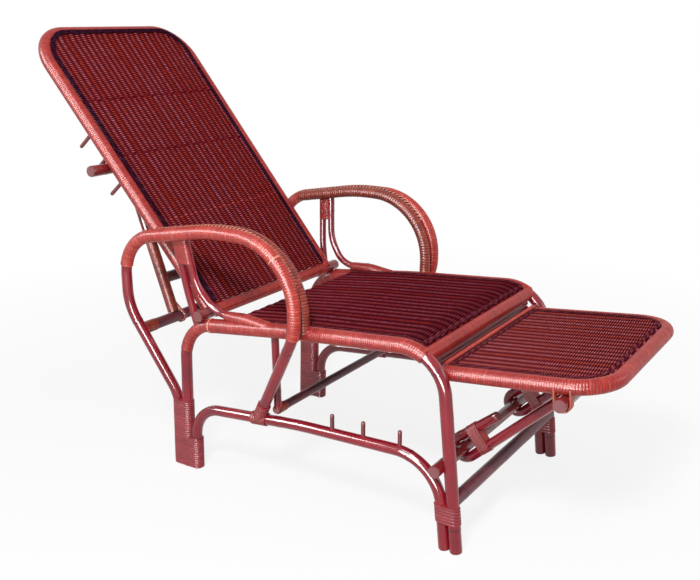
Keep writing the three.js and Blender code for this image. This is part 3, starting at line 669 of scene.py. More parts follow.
def weave_tree():
    """Rows of thin core across a panel, each over one pair of splints and under the next."""
    tree, given, path = open_tree("weave", {
        "Thickness": NUMBER, "Sides": COUNT, "Row Spacing": NUMBER, "Stakes": NUMBER,
        "Points per Row": COUNT, "Rise": NUMBER, "Facing": DIRECTION})
    rows = make(tree, "GeometryNodeResampleCurve", {"mode": "LENGTH"}, {
        "Curve": path, "Length": given.other("Row Spacing")})
    number = make(tree, "GeometryNodeInputIndex")
    tangent = make(tree, "GeometryNodeInputTangent")
    facing = vector_sum(tree, "CROSS_PRODUCT", given.other("Facing"), tangent)
    fan = carried(tree, "fan")
    half = carried(tree, "half")
    kept = make(tree, "GeometryNodeCaptureAttribute", {
        "domain": "POINT", "captures": {"Row": "FLOAT", "Up": "VECTOR", "Fan": "FLOAT"}}, {
        "Geometry": rows, "Row": number, "Up": facing, "Fan": fan})
    line = make(tree, "GeometryNodeCurvePrimitiveLine", {"mode": "POINTS"}, {
        "Start": (-1.0, 0.0, 0.0), "End": (1.0, 0.0, 0.0)})
    fine = make(tree, "GeometryNodeResampleCurve", {"mode": "COUNT"}, {
        "Curve": line, "Count": given.other("Points per Row")})
    laid = make(tree, "GeometryNodeInstanceOnPoints", None, {
        "Points": kept, "Instance": fine, "Scale": point(tree, half, 1.0, 1.0)})
    rows = make(tree, "GeometryNodeRealizeInstances", None, {"Geometry": laid})
    position = make(tree, "GeometryNodeInputPosition")
    spot = make(tree, "ShaderNodeSeparateXYZ", None, {"Vector": position})
    stake = (spot / kept.other("Fan") + 1) / 2 * given.other("Stakes")
    parity = 1 - 2 * (kept.other("Row") / 2).part() * 2
    lift = (stake * math.pi).sine() * parity
    held = make(tree, "GeometryNodeCaptureAttribute", {
        "domain": "POINT", "captures": {"Lift": "FLOAT", "Column": "FLOAT"}}, {
        "Geometry": rows, "Lift": lift, "Column": stake})
    offset = stretched(tree, kept.other("Up"), held.other("Lift") * given.other("Rise"))
    woven = make(tree, "GeometryNodeSetPosition", None, {"Geometry": held, "Offset": offset})
    woven = carry(tree, woven, "lift", held.other("Lift"))
    woven = carry(tree, woven, "row", kept.other("Row"))
    woven = carry(tree, woven, "column", held.other("Column"))
    woven = make(tree, "GeometryNodeSetCurveNormal", {"mode": "FREE"}, {
        "Curve": woven, "Normal": kept.other("Up")})
    cored = make(tree, "GeometryNodeCaptureAttribute", {
        "domain": "POINT", "captures": {"Core": "VECTOR"}}, {
        "Geometry": woven, "Core": make(tree, "GeometryNodeInputPosition")})
    outline, _ = outline_round(tree, given, given.other("Thickness"))
    solid = make(tree, "GeometryNodeCurveToMesh", None, {
        "Curve": cored, "Profile Curve": outline, "Fill Caps": True})
    place = make(tree, "GeometryNodeInputPosition")
    arm = vector_sum(tree, "SUBTRACT", place, cored.other("Core"))
    face = vector_sum(tree, "DOT_PRODUCT", arm, kept.other("Up"), out="Value")
    solid = carry(tree, solid, "side", face / given.other("Thickness"))
    return close_tree(tree, given, solid)


def stake_tree():
    """Flat splints side by side along a panel, cut off where the panel narrows at its corners."""
    tree, given, path = open_tree("stakes", {
        "Thickness": NUMBER, "Far Thickness": NUMBER, "Sides": COUNT, "Splints": NUMBER,
        "Spread": NUMBER, "Row": DIRECTION})
    splints = given.other("Splints")
    number = make(tree, "GeometryNodeInputIndex")
    dots = make(tree, "GeometryNodePoints", None, {"Count": splints})
    kept = make(tree, "GeometryNodeCaptureAttribute", {
        "domain": "POINT", "captures": {"Share": "FLOAT"}}, {
        "Geometry": dots, "Share": (number * 2 + 1) / splints - 1})
    laid = make(tree, "GeometryNodeInstanceOnPoints", None, {"Points": kept, "Instance": path})
    lines = make(tree, "GeometryNodeRealizeInstances", None, {"Geometry": laid})
    fan = carried(tree, "fan")
    half = carried(tree, "half")
    moved = make(tree, "GeometryNodeSetPosition", None, {
        "Geometry": lines, "Offset": point(tree, kept.other("Share") * fan, 0.0, 0.0)})
    spot = make(tree, "ShaderNodeSeparateXYZ", None, {
        "Vector": make(tree, "GeometryNodeInputPosition")})
    cut = make(tree, "GeometryNodeDeleteGeometry", {"domain": "POINT"}, {
        "Geometry": moved, "Selection": (spot.size() - half).above(0)})
    along = make(tree, "GeometryNodeSplineParameter")
    cut = carry(tree, cut, "along", along.other("Length"))
    flat = make(tree, "GeometryNodeSetCurveNormal", {"mode": "FREE"}, {
        "Curve": cut, "Normal": given.other("Row")})
    outline, _ = outline_pair(tree, given)
    solid = make(tree, "GeometryNodeCurveToMesh", None, {
        "Curve": flat, "Profile Curve": outline, "Fill Caps": True})
    return close_tree(tree, given, solid)


trees = {
    "pole": pole_tree(),
    "winding": winding_tree("winding", False),
    "binding": winding_tree("binding", True),
    "braid": braid_tree(),
    "weave": weave_tree(),
    "stakes": stake_tree(),
}


def grow(name, tree, paths, sizes, widths=None):
    """Grows a piece along its paths and leaves it as a plain mesh."""
    spots = []
    edges = []
    for path in paths:
        edges += [(len(spots) + step, len(spots) + step + 1) for step in range(len(path) - 1)]
        spots += path
    guide_mesh = bpy.data.meshes.new(name + "_guide")
    guide_mesh.from_pydata([tuple(spot) for spot in spots], edges, [])
    for width, numbers in (widths or {}).items():
        layer = guide_mesh.attributes.new(width, "FLOAT", "POINT")
        layer.data.foreach_set("value", numbers)
    guide = bpy.data.objects.new(name + "_guide", guide_mesh)
    bpy.context.collection.objects.link(guide)
    modifier = guide.modifiers.new("growth", "NODES")
    modifier.node_group = trees[tree]
    for item in trees[tree].interface.items_tree:
        if item.in_out == "INPUT" and item.name in sizes:
            modifier[item.identifier] = sizes[item.name]
    depsgraph = bpy.context.evaluated_depsgraph_get()
    mesh = bpy.data.meshes.new_from_object(guide.evaluated_get(depsgraph), depsgraph=depsgraph)
    mesh.name = name
    guide.modifiers.remove(modifier)
    bpy.data.objects.remove(guide)
    bpy.data.meshes.remove(guide_mesh)
    piece = bpy.data.objects.new(name, mesh)
    bpy.context.collection.objects.link(piece)
    return piece


def settle(piece, body, slot, nodes):
    """Says what a piece rides on and which nodes it stands for. The slot is not used."""
    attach(piece, body)
    if nodes:
        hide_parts(*nodes)
    return piece


POLE_SIZES = {"Sides": 20, "Step": 0.004, "Eased": 0.0012, "Joint Spacing": 0.36,
              "Joint Rise": 0.0007, "Waver": 0.0007}
WINDING_SIZES = {"Sides": 18, "Strand": 0.0055, "Groove": 0.0006, "Unevenness": 0.0002}
BINDING_SIZES = {**WINDING_SIZES, "Sides": 26, "Strand": 0.0075, "Groove": 0.0012}


def pole(name, body, slot, nodes, paths, radius, finish, **changes):
    """Bare cane along each path."""
    sizes = {**POLE_SIZES, "Thickness": radius, "Finish": canes[finish], **changes}
    return settle(grow(name, "pole", paths, sizes), body, slot, nodes)


def winding(name, body, slot, nodes, paths, radius, finish="bound", widths=None, **changes):
    """Split cane wound round a pole along each path."""
    sizes = {**WINDING_SIZES, "Thickness": radius, "Finish": canes[finish], **changes}
    return settle(grow(name, "winding", paths, sizes, widths), body, slot, nodes)


def binding(name, body, slot, nodes, paths, radius, spread, row, finish="bark", **changes):
    """Strips wound round a row of poles, whose outer two lie a spread away from the path."""
    sizes = {**BINDING_SIZES, "Thickness": radius, "Far Thickness": radius, "Spread": spread,
             "Row": row, "Finish": canes[finish], **changes}
    return settle(grow(name, "binding", paths, sizes), body, slot, nodes)


def braid(name, body, paths, radius, twist, **changes):
    """A twisted pair of strands along each path."""
    sizes = {"Sides": 6, "Thickness": radius, "Reach": radius * 0.8, "Twist": twist,
             "Finish": canes["braid"], **changes}
    return settle(grow(name, "braid", paths, sizes), body, "weave", [])


# The side frames

MM = 0.001
crossbar_low, crossbar_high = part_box("rear_crossbar")
CROSSBAR_Y = 140
SHIFT = (crossbar_low.y + crossbar_high.y) / 2 - CROSSBAR_Y * MM


def mm(x, y, z):
    """A place in the chair's own measure, in millimetres, brought into the shared frame."""
    return Vector((x * MM, y * MM + SHIFT, z * MM))


def mirrored(path):
    """The same path on the other side of the chair."""
    return [Vector((-spot.x, spot.y, spot.z)) for spot in path]


def both(path):
    """A path on the left and its twin on the right."""
    return {"left": path, "right": mirrored(path)}


SIDES = (("left", 1), ("right", -1))
FRAME_HALF = 280
ARM_HALF = 327
INNER_HALF = 296.2
MAIN_R = 14.5
MAIN_BOUND_R = 18
BRACE_R = 13.5
ARM_BOUND_R = 16
POST_R = 9.5
REAR_LEAN = (21 - 31) / 388
FRONT_LEAN = (-696 + 743.5) / 458.5
ROW_STEP = MAIN_R + BRACE_R + 0.3


def main_rear(z, row=0):
    """Y of the rear leg at a height, or of the pole beside it in the row."""
    return 31 + REAR_LEAN * z + row * ROW_STEP * math.hypot(1, REAR_LEAN)


def main_front(z, row=0):
    """Y of the front leg at a height, or of the pole beside it in the row."""
    return -743.5 + FRONT_LEAN * z + row * ROW_STEP * math.hypot(1, FRONT_LEAN)


main_line = bent_path([
    (mm(FRAME_HALF, main_rear(0), 0),), (mm(FRAME_HALF, 21, 388), 100 * MM),
    (mm(FRAME_HALF, -315, 428), 900 * MM), (mm(FRAME_HALF, -696, 458.5), 105 * MM),
    (mm(FRAME_HALF, main_front(0), 0),)])
brace_line = bent_path([
    (mm(FRAME_HALF, main_rear(0, -1), 0),), (mm(FRAME_HALF, main_rear(169, -1), 169), 85 * MM),
    (mm(FRAME_HALF, -327, 198), 1200 * MM), (mm(FRAME_HALF, main_front(208, 1), 208), 115 * MM),
    (mm(FRAME_HALF, main_front(0, 1), 0),)])


def rail_z(y):
    """Height of the seat rail's middle."""
    return height_at(main_line, mm(0, y, 0).y, 0.3) / MM


def brace_z(y):
    """Height of the brace's middle."""
    return height_at(brace_line, mm(0, y, 0).y, 0.12) / MM


def arm_z(y):
    """Height of the arm's top run between its two bends."""
    return 648 + (y + 110) * (599 - 648) / (167 + 110)


STRUT_Y = -210
POST_TOP_X = 311.6
POST_SUNK = 4.75
arm_line = bent_path([
    (mm(FRAME_HALF, main_rear(0, 1), 0),), (mm(FRAME_HALF, main_rear(185, 1), 185), 150 * MM),
    (mm(ARM_HALF, 167, 425), 182 * MM), (mm(ARM_HALF, 167, 599), 110 * MM),
    (mm(ARM_HALF, -110, 648), 500 * MM), (mm(ARM_HALF, -350, 646), 158 * MM),
    (mm(ARM_HALF, -350, 440), 140 * MM), (mm(284, STRUT_Y, brace_z(STRUT_Y) + BRACE_R - 5),)])
inner_line = bent_path([
    (mm(INNER_HALF, 78, arm_z(78)),), (mm(INNER_HALF, -110, 648), 500 * MM),
    (mm(INNER_HALF, -347, 646), 172 * MM), (mm(286, -347, rail_z(-347)),)])
straight_post = bent_path([
    (mm(POST_TOP_X, 8, arm_z(8) - POST_SUNK),), (mm(292, -3, 482), 400 * MM),
    (mm(FRAME_HALF, -23, 380),)])


def low_run_z(y):
    """Height of the curved post's foot, which lies along the top of the rail."""
    return rail_z(y) + (MAIN_BOUND_R + POST_R + 0.3) * math.hypot(1, 40 / 336)


curved_post = bent_path([
    (mm(POST_TOP_X, -20, arm_z(-20) - POST_SUNK),), (mm(294, -32, 500), 120 * MM),
    (mm(FRAME_HALF, -84, low_run_z(-84)), 75 * MM), (mm(FRAME_HALF, -172, low_run_z(-172)),)])
MID_Y = -249.5
MID_R = 10.5
mid_z = brace_z(MID_Y) + BRACE_R + MID_R + 0.3
mid_post = [mm(262, MID_Y, mid_z), mm(268, MID_Y, rail_z(MID_Y) - POST_SUNK)]

main_length = marks(main_line)[-1]
bend_start = where(main_line, lambda spot: spot.z > 322 * MM)
rail_start = where(main_line, lambda spot: spot.y < mm(0, -57, 0).y)
rail_end = where(main_line, lambda spot: spot.y < mm(0, -655, 0).y)
arm_length = marks(arm_line)[-1]
arm_start = where(arm_line, lambda spot: spot.z > 530 * MM)
arm_end = where(arm_line, lambda spot: spot.y < mm(0, -300, 0).y and spot.z < 430 * MM)
UNDER = 6 * MM  # how far a bare stretch goes on under its pole's winding

for side, line in both(main_line).items():
    pole("main_leg_poles_" + side, "frame", "lacquered_pole", ["main_pole_" + side], [
        stretch_of(line, 0, rail_start + UNDER), stretch_of(line, rail_end - UNDER, main_length)],
        MAIN_R * MM, "lacquered")
    winding("rail_winding_" + side, "frame", "bound_pole", ["main_pole_" + side],
            [stretch_of(line, rail_start, rail_end)], MAIN_BOUND_R * MM)
    winding("rear_bend_winding_" + side, "frame", "bound_pole", ["main_pole_" + side],
            [stretch_of(line, bend_start, rail_start + UNDER)], (MAIN_R + 0.9) * MM, Groove=0.0007)

tie_at = where(main_line, lambda spot: spot.y < mm(0, -64, 0).y)
tied_rail = mirrored(stretch_of(main_line, tie_at, tie_at + 3.6 * MM))
winding("rail_tie", "frame", "bound_pole", [], [tied_rail], (MAIN_BOUND_R + 0.9) * MM, "tie",
        Strand=0.0036, Groove=0.0005)

for side, line in both(brace_line).items():
    pole("brace_pole_bare_" + side, "frame", "lacquered_pole", ["brace_pole_" + side], [line],
         BRACE_R * MM, "lacquered")

for side, line in both(arm_line).items():
    pole("arm_pole_bare_" + side, "frame", "lacquered_pole", ["arm_pole_" + side], [
        stretch_of(line, 0, arm_start + UNDER), stretch_of(line, arm_end - UNDER, arm_length)],
        BRACE_R * MM, "lacquered")
    winding("arm_winding_" + side, "frame", "bound_pole", ["arm_pole_" + side],
            [stretch_of(line, arm_start, arm_end)], ARM_BOUND_R * MM, "arm_bound", Strand=0.006)

tie_at = where(arm_line, lambda spot: spot.y < mm(0, -297, 0).y and spot.z > 560 * MM)
tied_arm = mirrored(stretch_of(arm_line, tie_at, tie_at + 3.2 * MM))
winding("arm_tie", "frame", "bound_pole", [], [tied_arm], (ARM_BOUND_R + 0.9) * MM, "tie",
        Strand=0.0032, Groove=0.0005)

for side, line in both(inner_line).items():
    winding("inner_arm_winding_" + side, "frame", "bound_pole", ["arm_inner_pole_" + side], [line],
            MAIN_R * MM, "inner_bound", Strand=0.0072, Groove=0.0011)

SEAM_X = (ARM_HALF + INNER_HALF) / 2
SEAM_RISE = 13
seam_end = where(inner_line, lambda spot: spot.y < mm(0, -318, 0).y)
seam = [Vector((SEAM_X * MM, spot.y, spot.z + SEAM_RISE * MM))
        for spot in stretch_of(inner_line, 10 * MM, seam_end)]
for side, line in both(seam).items():
    braid("arm_seam_bead_" + side, "frame", [line], 2.5 * MM, 0.011, Finish=canes["bead"])

for name, line in (("straight", straight_post), ("curved", curved_post)):
    for side, path in both(line).items():
        pole("arm_post_%s_cane_%s" % (name, side), "frame", "lacquered_pole",
             ["arm_post_%s_%s" % (name, side)], [path], POST_R * MM, "lacquered", Sides=16)

POST_BOUND = 62
post_top = mm(POST_TOP_X, -6, arm_z(-6) - 14)
post_run = (straight_post[1] - straight_post[0]).normalized()
for side, line in both([post_top, post_top + post_run * (POST_BOUND * MM)]).items():
    binding("arm_post_top_binding_" + side, "frame", "bound_pole", [], [line], (POST_R + 1) * MM,
            14 * MM, (0, 1, 0), "bound", Strand=0.0046, Groove=0.0006, Sides=24)

for side, line in both(mid_post).items():
    pole("mid_post_cane_" + side, "frame", "lacquered_pole", ["mid_post_" + side], [line],
         POST_R * MM, "lacquered", Sides=16)

# Along the foot of the curved post: place, radius of the winding, and how far its top is let down
FOOT_WRAP_R = 15.5
FOOT_WRAP = ((-112, 11.4, 0), (-128, 12.6, 0), (-146, 14.8, 1), (-164, 15.5, 2), (-180, 15.5, 4),
             (-196, 15.4, 8), (-212, 15.2, 12), (-228, 14.8, 16), (-246, 14.0, 20))
foot_path = []
foot_thin = []
for y, radius, sunk in FOOT_WRAP:
    crown = low_run_z(y) + POST_R + 1.6 - sunk
    foot_path.append(mm(FRAME_HALF, y, crown - radius))
    foot_thin.append(1 - radius / FOOT_WRAP_R)
for side, line in both(foot_path).items():
    winding("arm_post_foot_wrap_" + side, "frame", "bound_pole", ["arm_post_binding_" + side],
            [line], FOOT_WRAP_R * MM, widths={"thin": foot_thin})


def leg_binding(name, low, high, middle, lean, rows, strand, rise=2.4):
    """Bark strips round a row of legs, between two heights."""
    spread = ROW_STEP * math.hypot(1, lean) * (rows - 1) / 2
    leg = [mm(FRAME_HALF, middle(z), z) for z in (low, high)]
    for side, line in both(leg).items():
        binding("%s_wrap_%s" % (name, side), "frame", "bark", ["%s_binding_%s" % (name, side)],
                [line], (MAIN_R + rise) * MM, spread * MM, (0, 1, 0), "foot_bound",
                Strand=strand * MM, Groove=0.0007)


leg_binding("rear_foot", 3, 84, main_rear, REAR_LEAN, 3, 5.2)
leg_binding("rear_leg", 82, 182, lambda z: main_rear(z, 0.5), REAR_LEAN, 2, 5.2, 2.2)
leg_binding("front_foot", 68, 108, lambda z: main_front(z, 0.5), FRONT_LEAN, 2, 7.4, 1.8)

strut_brace = stretch_of(
    brace_line, where(brace_line, lambda spot: spot.z > 0.15 and spot.y < mm(0, -186, 0).y),
    where(brace_line, lambda spot: spot.z > 0.15 and spot.y < mm(0, -230, 0).y))
strut_arm = stretch_of(arm_line, arm_length - 42 * MM, arm_length)
for side, brace_part in both(strut_brace).items():
    arm_part = strut_arm if side == "left" else mirrored(strut_arm)
    winding("strut_wrap_" + side, "frame", "bark", ["strut_binding_" + side],
            [brace_part, arm_part], 16.7 * MM, "bark", Strand=0.0075, Groove=0.0012)

PEG_R = 5
PEG_SIZES = {"Sides": 14, "Joint Rise": 0.0, "Step": 0.003}
BRACE_PEGS = (-419, -503, -598)
BRACE_PEG_SHOWN = 34
BRACE_PEG_SUNK = 10


def peg(row, side, number, body, ends):
    """One peg of a row along a pole."""
    return pole("%s_dowel_%s_%d" % (row, side, number), body, "bare_cane",
                ["%s_%s_%d" % (row, side, number)], [ends], PEG_R * MM, "peg", **PEG_SIZES)


for side, _ in SIDES:
    for number, y in enumerate(BRACE_PEGS, 1):
        crown = brace_z(y) + BRACE_R
        ends = [mm(FRAME_HALF, y, z) for z in (crown + BRACE_PEG_SHOWN, crown - BRACE_PEG_SUNK)]
        peg("brace_peg", side, number, "frame", both(ends)[side])


# Cross pieces and the seat

def across(y, z, half, start=None):
    """A line across the chair, or the part of it on the left from start to half."""
    return [mm(-half if start is None else start, y, z), mm(half, y, z)]


def cross_pole(name, node, y, z, half, radius):
    """A brown pole across the chair."""
    return pole(name, "frame", "bare_cane", [node], [across(y, z, half)], radius * MM, "brown")


def end_wraps(name, y, z, inner, outer, radius):
    """Split cane wound round both ends of a cross pole, from inner to outer."""
    ends = both(across(y, z, outer, inner)).values()
    return winding(name, "frame", "bark", [], list(ends), radius * MM, "inner_bound", Strand=0.006)


CROSSBAR_Z = 362
CROSSBAR_R = 14.5
STRETCHER_Z = 118
cross_pole("rear_crossbar_cane", "rear_crossbar", CROSSBAR_Y, CROSSBAR_Z, 312, CROSSBAR_R)
cross_pole("front_stretcher_cane", "front_stretcher", main_front(STRETCHER_Z), STRETCHER_Z,
           FRAME_HALF, CROSSBAR_R)
cross_pole("mid_stretcher_cane", "mid_stretcher", MID_Y, mid_z, 271, MID_R)
end_wraps("rear_crossbar_wraps", CROSSBAR_Y, CROSSBAR_Z, 268, 306, 16)
end_wraps("mid_stretcher_wraps", MID_Y, mid_z, 236, 266, 12.4)

SEAT_FRONT_Y = -655
SEAT_REAR_Y = -125
SEAT_FRONT_R = 17
SEAT_REAR_R = 13
UNDER_CANES = ((2.6, 21.7), (4, 33))  # ahead of the front bar's middle and below it
UNDER_CANE_R = 6
UNDER_CANE_HALF = 264
front_bar_z = rail_z(SEAT_FRONT_Y)
winding("seat_front_bar_winding", "frame", "bound_pole", ["seat_front_bar"],
        [across(SEAT_FRONT_Y, front_bar_z, FRAME_HALF)], SEAT_FRONT_R * MM)
under_canes = [across(SEAT_FRONT_Y - ahead, front_bar_z - below, UNDER_CANE_HALF)
               for ahead, below in UNDER_CANES]
pole("seat_front_under_cane", "frame", "bare_cane", [], under_canes, UNDER_CANE_R * MM,
     "lacquered", Sides=14)
cross_pole("seat_rear_bar_cane", "seat_rear_bar", SEAT_REAR_Y, rail_z(SEAT_REAR_Y) - 4,
           FRAME_HALF - 5, SEAT_REAR_R)


ROW = 2.9
CORE_R = 1.7
RISE = 1.6
SPLINT_R = 0.5
SPLINT_GAP = 0.3
BORDER_R = 1.6
BORDER_TWIST = 0.012
BORDER_PITCH = 4
BORDER_RISE = 3.6


def weave(name, body, nodes, spine, halves, fans, stakes, weft):
    """A woven field along a spine, with its width and the spread of its stakes at each point."""
    sizes = {"Thickness": CORE_R * MM, "Sides": 4, "Row Spacing": ROW * MM,
             "Stakes": float(stakes), "Points per Row": stakes * 4 + 1, "Rise": RISE * MM,
             "Facing": (1, 0, 0), "Finish": canes[weft]}
    piece = grow(name, "weave", [spine], sizes, {"half": halves, "fan": fans})
    return settle(piece, body, "weave", nodes)


def stakes_under(name, body, spine, halves, fans, stakes):
    """Splints between the front and rear loops of a panel's rows, two to each stake."""
    splints = stakes * 2
    reach = max(fans) / splints - SPLINT_GAP * MM
    sizes = {"Thickness": SPLINT_R * MM, "Far Thickness": SPLINT_R * MM, "Sides": 6,
             "Splints": float(splints), "Spread": reach - SPLINT_R * MM, "Row": (1, 0, 0),
             "Finish": canes["stake"]}
    narrowed = [half - reach for half in halves]
    piece = grow(name, "stakes", [spine], sizes, {"half": narrowed, "fan": fans})
    return settle(piece, body, "weave", [])


SEAT_RISE = 12.5
SEAT_STAKES = 20
seat_steps = range(-120, -650, -6)
seat_spine = [mm(0, y, rail_z(y) + SEAT_RISE) for y in seat_steps]
seat_half = [(FRAME_HALF - 12) * MM] * len(seat_spine)
seat_fan = [FRAME_HALF * MM] * len(seat_spine)
cut_at = len(seat_spine) // 2
for name, low, high in (("rear", 0, cut_at + 1), ("front", cut_at, len(seat_spine))):
    weave("seat_weave_" + name, "frame", ["seat_panel"], seat_spine[low:high], seat_half[low:high],
          seat_fan[low:high], SEAT_STAKES, "seat_weft")
stakes_under("seat_stakes", "frame", seat_spine, seat_half, seat_fan, SEAT_STAKES)
seat_edge = [spot + Vector(((FRAME_HALF - MAIN_BOUND_R + 2) * MM, 0, 3.6 * MM))
             for spot in seat_spine[::3]]
braid("seat_border", "frame", [seat_edge, mirrored(seat_edge)], BORDER_R * MM, BORDER_TWIST)
seat_lip = SEAT_FRONT_Y + 11
seat_lips = [across(y, rail_z(y) + SEAT_RISE + 3.2, 258) for y in (seat_lip, seat_lip + 4)]
braid("seat_front_border", "frame", seat_lips, BORDER_R * MM, BORDER_TWIST)


# Moving parts: each is laid out along its own directions

class Axes:
    """A moving part's own directions: X across, one along its length and one out of its face."""

    def __init__(self, origin, angle):
        self.origin = origin
        self.along = Vector((0, math.cos(angle), math.sin(angle)))
        self.out = Vector((0, -math.sin(angle), math.cos(angle)))

    def at(self, x, along, out=0.0):
        """A place from its distances in millimetres across, along and out of the face."""
        return self.origin + Vector((x * MM, 0, 0)) + self.along * along * MM + self.out * out * MM

    def line(self, spots):
        return [self.at(*spot) for spot in spots]


def middle(node):
    """The middle of a node's box, brought to the middle of the chair."""
    low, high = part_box(node)
    return Vector((0, (low.y + high.y) / 2, (low.z + high.z) / 2))


def angle_between(start, end):
    """The angle above the rear direction from one node to another, and how far apart they are."""
    run = middle(end) - middle(start)
    return math.atan2(run.z, run.y), run.length / MM


# Back
BACK_R = 17.5
BACK_LENGTH = 864
BACK_BASE = 252
BACK_TOP = 267
BACK_CORNER = 100
ROD_R = 14.25
AXLE_HALF = 302
AXLE_BOUND = 236
AXLE_END_BOUND = 206
back = Axes(middle("back_axle"), math.radians(49.6))
back_hoop = bent_path([
    (back.at(-BACK_BASE, 0),), (back.at(-BACK_TOP, BACK_LENGTH), BACK_CORNER * MM),
    (back.at(BACK_TOP, BACK_LENGTH), BACK_CORNER * MM), (back.at(BACK_BASE, 0),)])
winding("back_hoop_winding", "back", "bound_pole", ["back_hoop"], [back_hoop], BACK_R * MM)
pole("back_axle_rod", "back", "rod", ["back_axle"],
     [back.line([(-AXLE_HALF, 0), (AXLE_HALF, 0)])], ROD_R * MM, "rod")
winding("back_axle_winding", "back", "bound_pole", [],
        [back.line([(-AXLE_BOUND, 0), (AXLE_BOUND, 0)])], 15.6 * MM)
winding("back_axle_end_winding", "back", "bound_pole", [],
        [back.line([(AXLE_END_BOUND, 0), (AXLE_BOUND, 0)]),
         back.line([(-AXLE_BOUND, 0), (-AXLE_END_BOUND, 0)])], 17.5 * MM, Strand=0.0065)


def hoop_half(at, base, top, length, corner):
    """Half the width of a hoop between its centre lines, narrowing round its corners."""
    half = base + (top - base) * at / length
    into = at - (length - corner)
    return half if into <= 0 else half - corner + math.sqrt(max(corner ** 2 - into ** 2, 0))


FIELD_STEP = 4
LIP_REACH = 42


def field(axes, start, end, base, top, length, corner, out, tuck=11.5, lip=0.0):
    """Spine, widths and fan of a woven field between two distances along a hoop.

    The field lies tucked in from the hoop's middle line, and near the tip it may rise to a lip.
    """
    count = math.ceil(abs(end - start) / FIELD_STEP)
    spots = [start + (end - start) * step / count for step in range(count + 1)]
    spine = []
    halves = []
    fans = []
    for spot in spots:
        level = abs(spot)
        near_tip = max(0, 1 - (abs(length) - level) / LIP_REACH)
        held = min(near_tip, 1)
        spine.append(axes.at(0, spot, out + lip * near_tip * near_tip * (3 - 2 * held)))
        half = hoop_half(min(level, abs(length) - 4), base, top, abs(length), corner)
        halves.append((half - tuck * (1 - held * (lip > 0))) * MM)
        fans.append((base + (top - base) * level / abs(length)) * MM)
    return spine, halves, fans


BACK_STAKES = 27
BACK_OUT = 12.5
BACK_LIP = 4.5
BACK_TUCK = 14
BACK_START = 14
BACK_END = BACK_LENGTH - 6
BACK_SPLIT = 262
BACK_BANDS = (464, 635)
BAND = 7
low_band, high_band = BACK_BANDS
back_fields = (
    ("lowest", BACK_START, BACK_SPLIT), ("lower", BACK_SPLIT, low_band - BAND / 2),
    ("middle", low_band + BAND / 2, high_band - BAND / 2),
    ("upper", high_band + BAND / 2, BACK_END))


def back_field(start, end):
    """The stretch of the back's panel between two distances from its axle."""
    return field(back, start, end, BACK_BASE, BACK_TOP, BACK_LENGTH, BACK_CORNER, BACK_OUT,
                 BACK_TUCK, BACK_LIP)


for name, start, end in back_fields:
    weave("back_weave_" + name, "back", ["back_panel"], *back_field(start, end), BACK_STAKES,
          "back_weft")
stakes_under("back_stakes", "back", *back_field(BACK_START, BACK_END), BACK_STAKES)
ropes = []
for band in BACK_BANDS:
    half = hoop_half(band, BACK_BASE, BACK_TOP, BACK_LENGTH, BACK_CORNER) - 12
    for along in (band - 1.8, band + 1.8):
        for out in (BACK_OUT - 1.4, BACK_OUT + 1.4):
            ropes.append(back.line([(-half, along, out), (half, along, out)]))
braid("back_bands", "back", ropes, 1.35 * MM, 0.010, Finish=canes["band"])


def inner_border(axes, base, top, length, corner, inset, start, out, tip_inset, tip_out):
    """The line just inside a hoop's rails, on the face of its panel."""
    reach = length - math.copysign(tip_inset, length)
    bend = (corner - inset) * MM * 0.96
    knee = reach - math.copysign(corner - inset, length)
    low = base - inset
    high = top - inset
    return bent_path([
        (axes.at(-low, start, out),), (axes.at(-high, knee, out), 400 * MM),
        (axes.at(-high, reach, tip_out), bend), (axes.at(high, reach, tip_out), bend),
        (axes.at(high, knee, out), 400 * MM), (axes.at(low, start, out),)])


def borders(axes, base, top, length, corner, radius, start, out, tip_inset, tip_out, count=2):
    """Rows of braid side by side along the face of a panel, and one along its rear."""
    rows = []
    for row in range(count):
        step = BORDER_PITCH * row
        rows.append((radius - 2 + step, out + BORDER_RISE, tip_inset + step, tip_out + BORDER_RISE))
    rear = out - 4
    rows.append((radius - 1, rear, radius - 1, rear))
    return [inner_border(axes, base, top, length, corner, inset, start, *places)
            for inset, *places in rows]


braid("back_border", "back", borders(
    back, BACK_BASE, BACK_TOP, BACK_LENGTH, BACK_CORNER, BACK_R, 20, BACK_OUT, 7,
    BACK_OUT + BACK_LIP, 3), BORDER_R * MM, BORDER_TWIST, Finish=canes["dark_braid"])
BACK_PEGS = (404, 479, 554)
BACK_PEG_OUT = (-67.5, -7.5)
for side, sign in SIDES:
    for number, along in enumerate(BACK_PEGS, 1):
        x = sign * (BACK_BASE + (BACK_TOP - BACK_BASE) * along / BACK_LENGTH)
        ends = back.line([(x, along, out) for out in BACK_PEG_OUT])
        peg("back_peg", side, number, "back", ends)


STRAP_R = 2.2
STRAP_SIZES = {"Sides": 8, "Joint Rise": 0.0, "Step": 0.003, "Eased": 0.0004}


def strap(name, body, node, place, radius, rise, pinch, strands, pitch):
    """Several strands side by side that pass under a bar and carry it.

    Each corner of a strand is given as its height above the bar, its distance from the bar's
    middle, and its bend as a share of the strand's reach from that middle.
    """
    reach = radius + STRAP_R + 0.6
    corners = ((rise, pinch, 0), (0, reach, 1), (-reach, reach, 0.95), (-reach, -reach, 0.95),
               (0, -reach, 1), (rise, -pinch, 0))
    paths = []
    for number in range(strands):
        x = (number - (strands - 1) / 2) * pitch
        paths.append(bent_path([(place(x, height, out), reach * share * MM)
                                for height, out, share in corners]))
    return pole(name, body, "bark", [node], paths, STRAP_R * MM, "strap", **STRAP_SIZES)


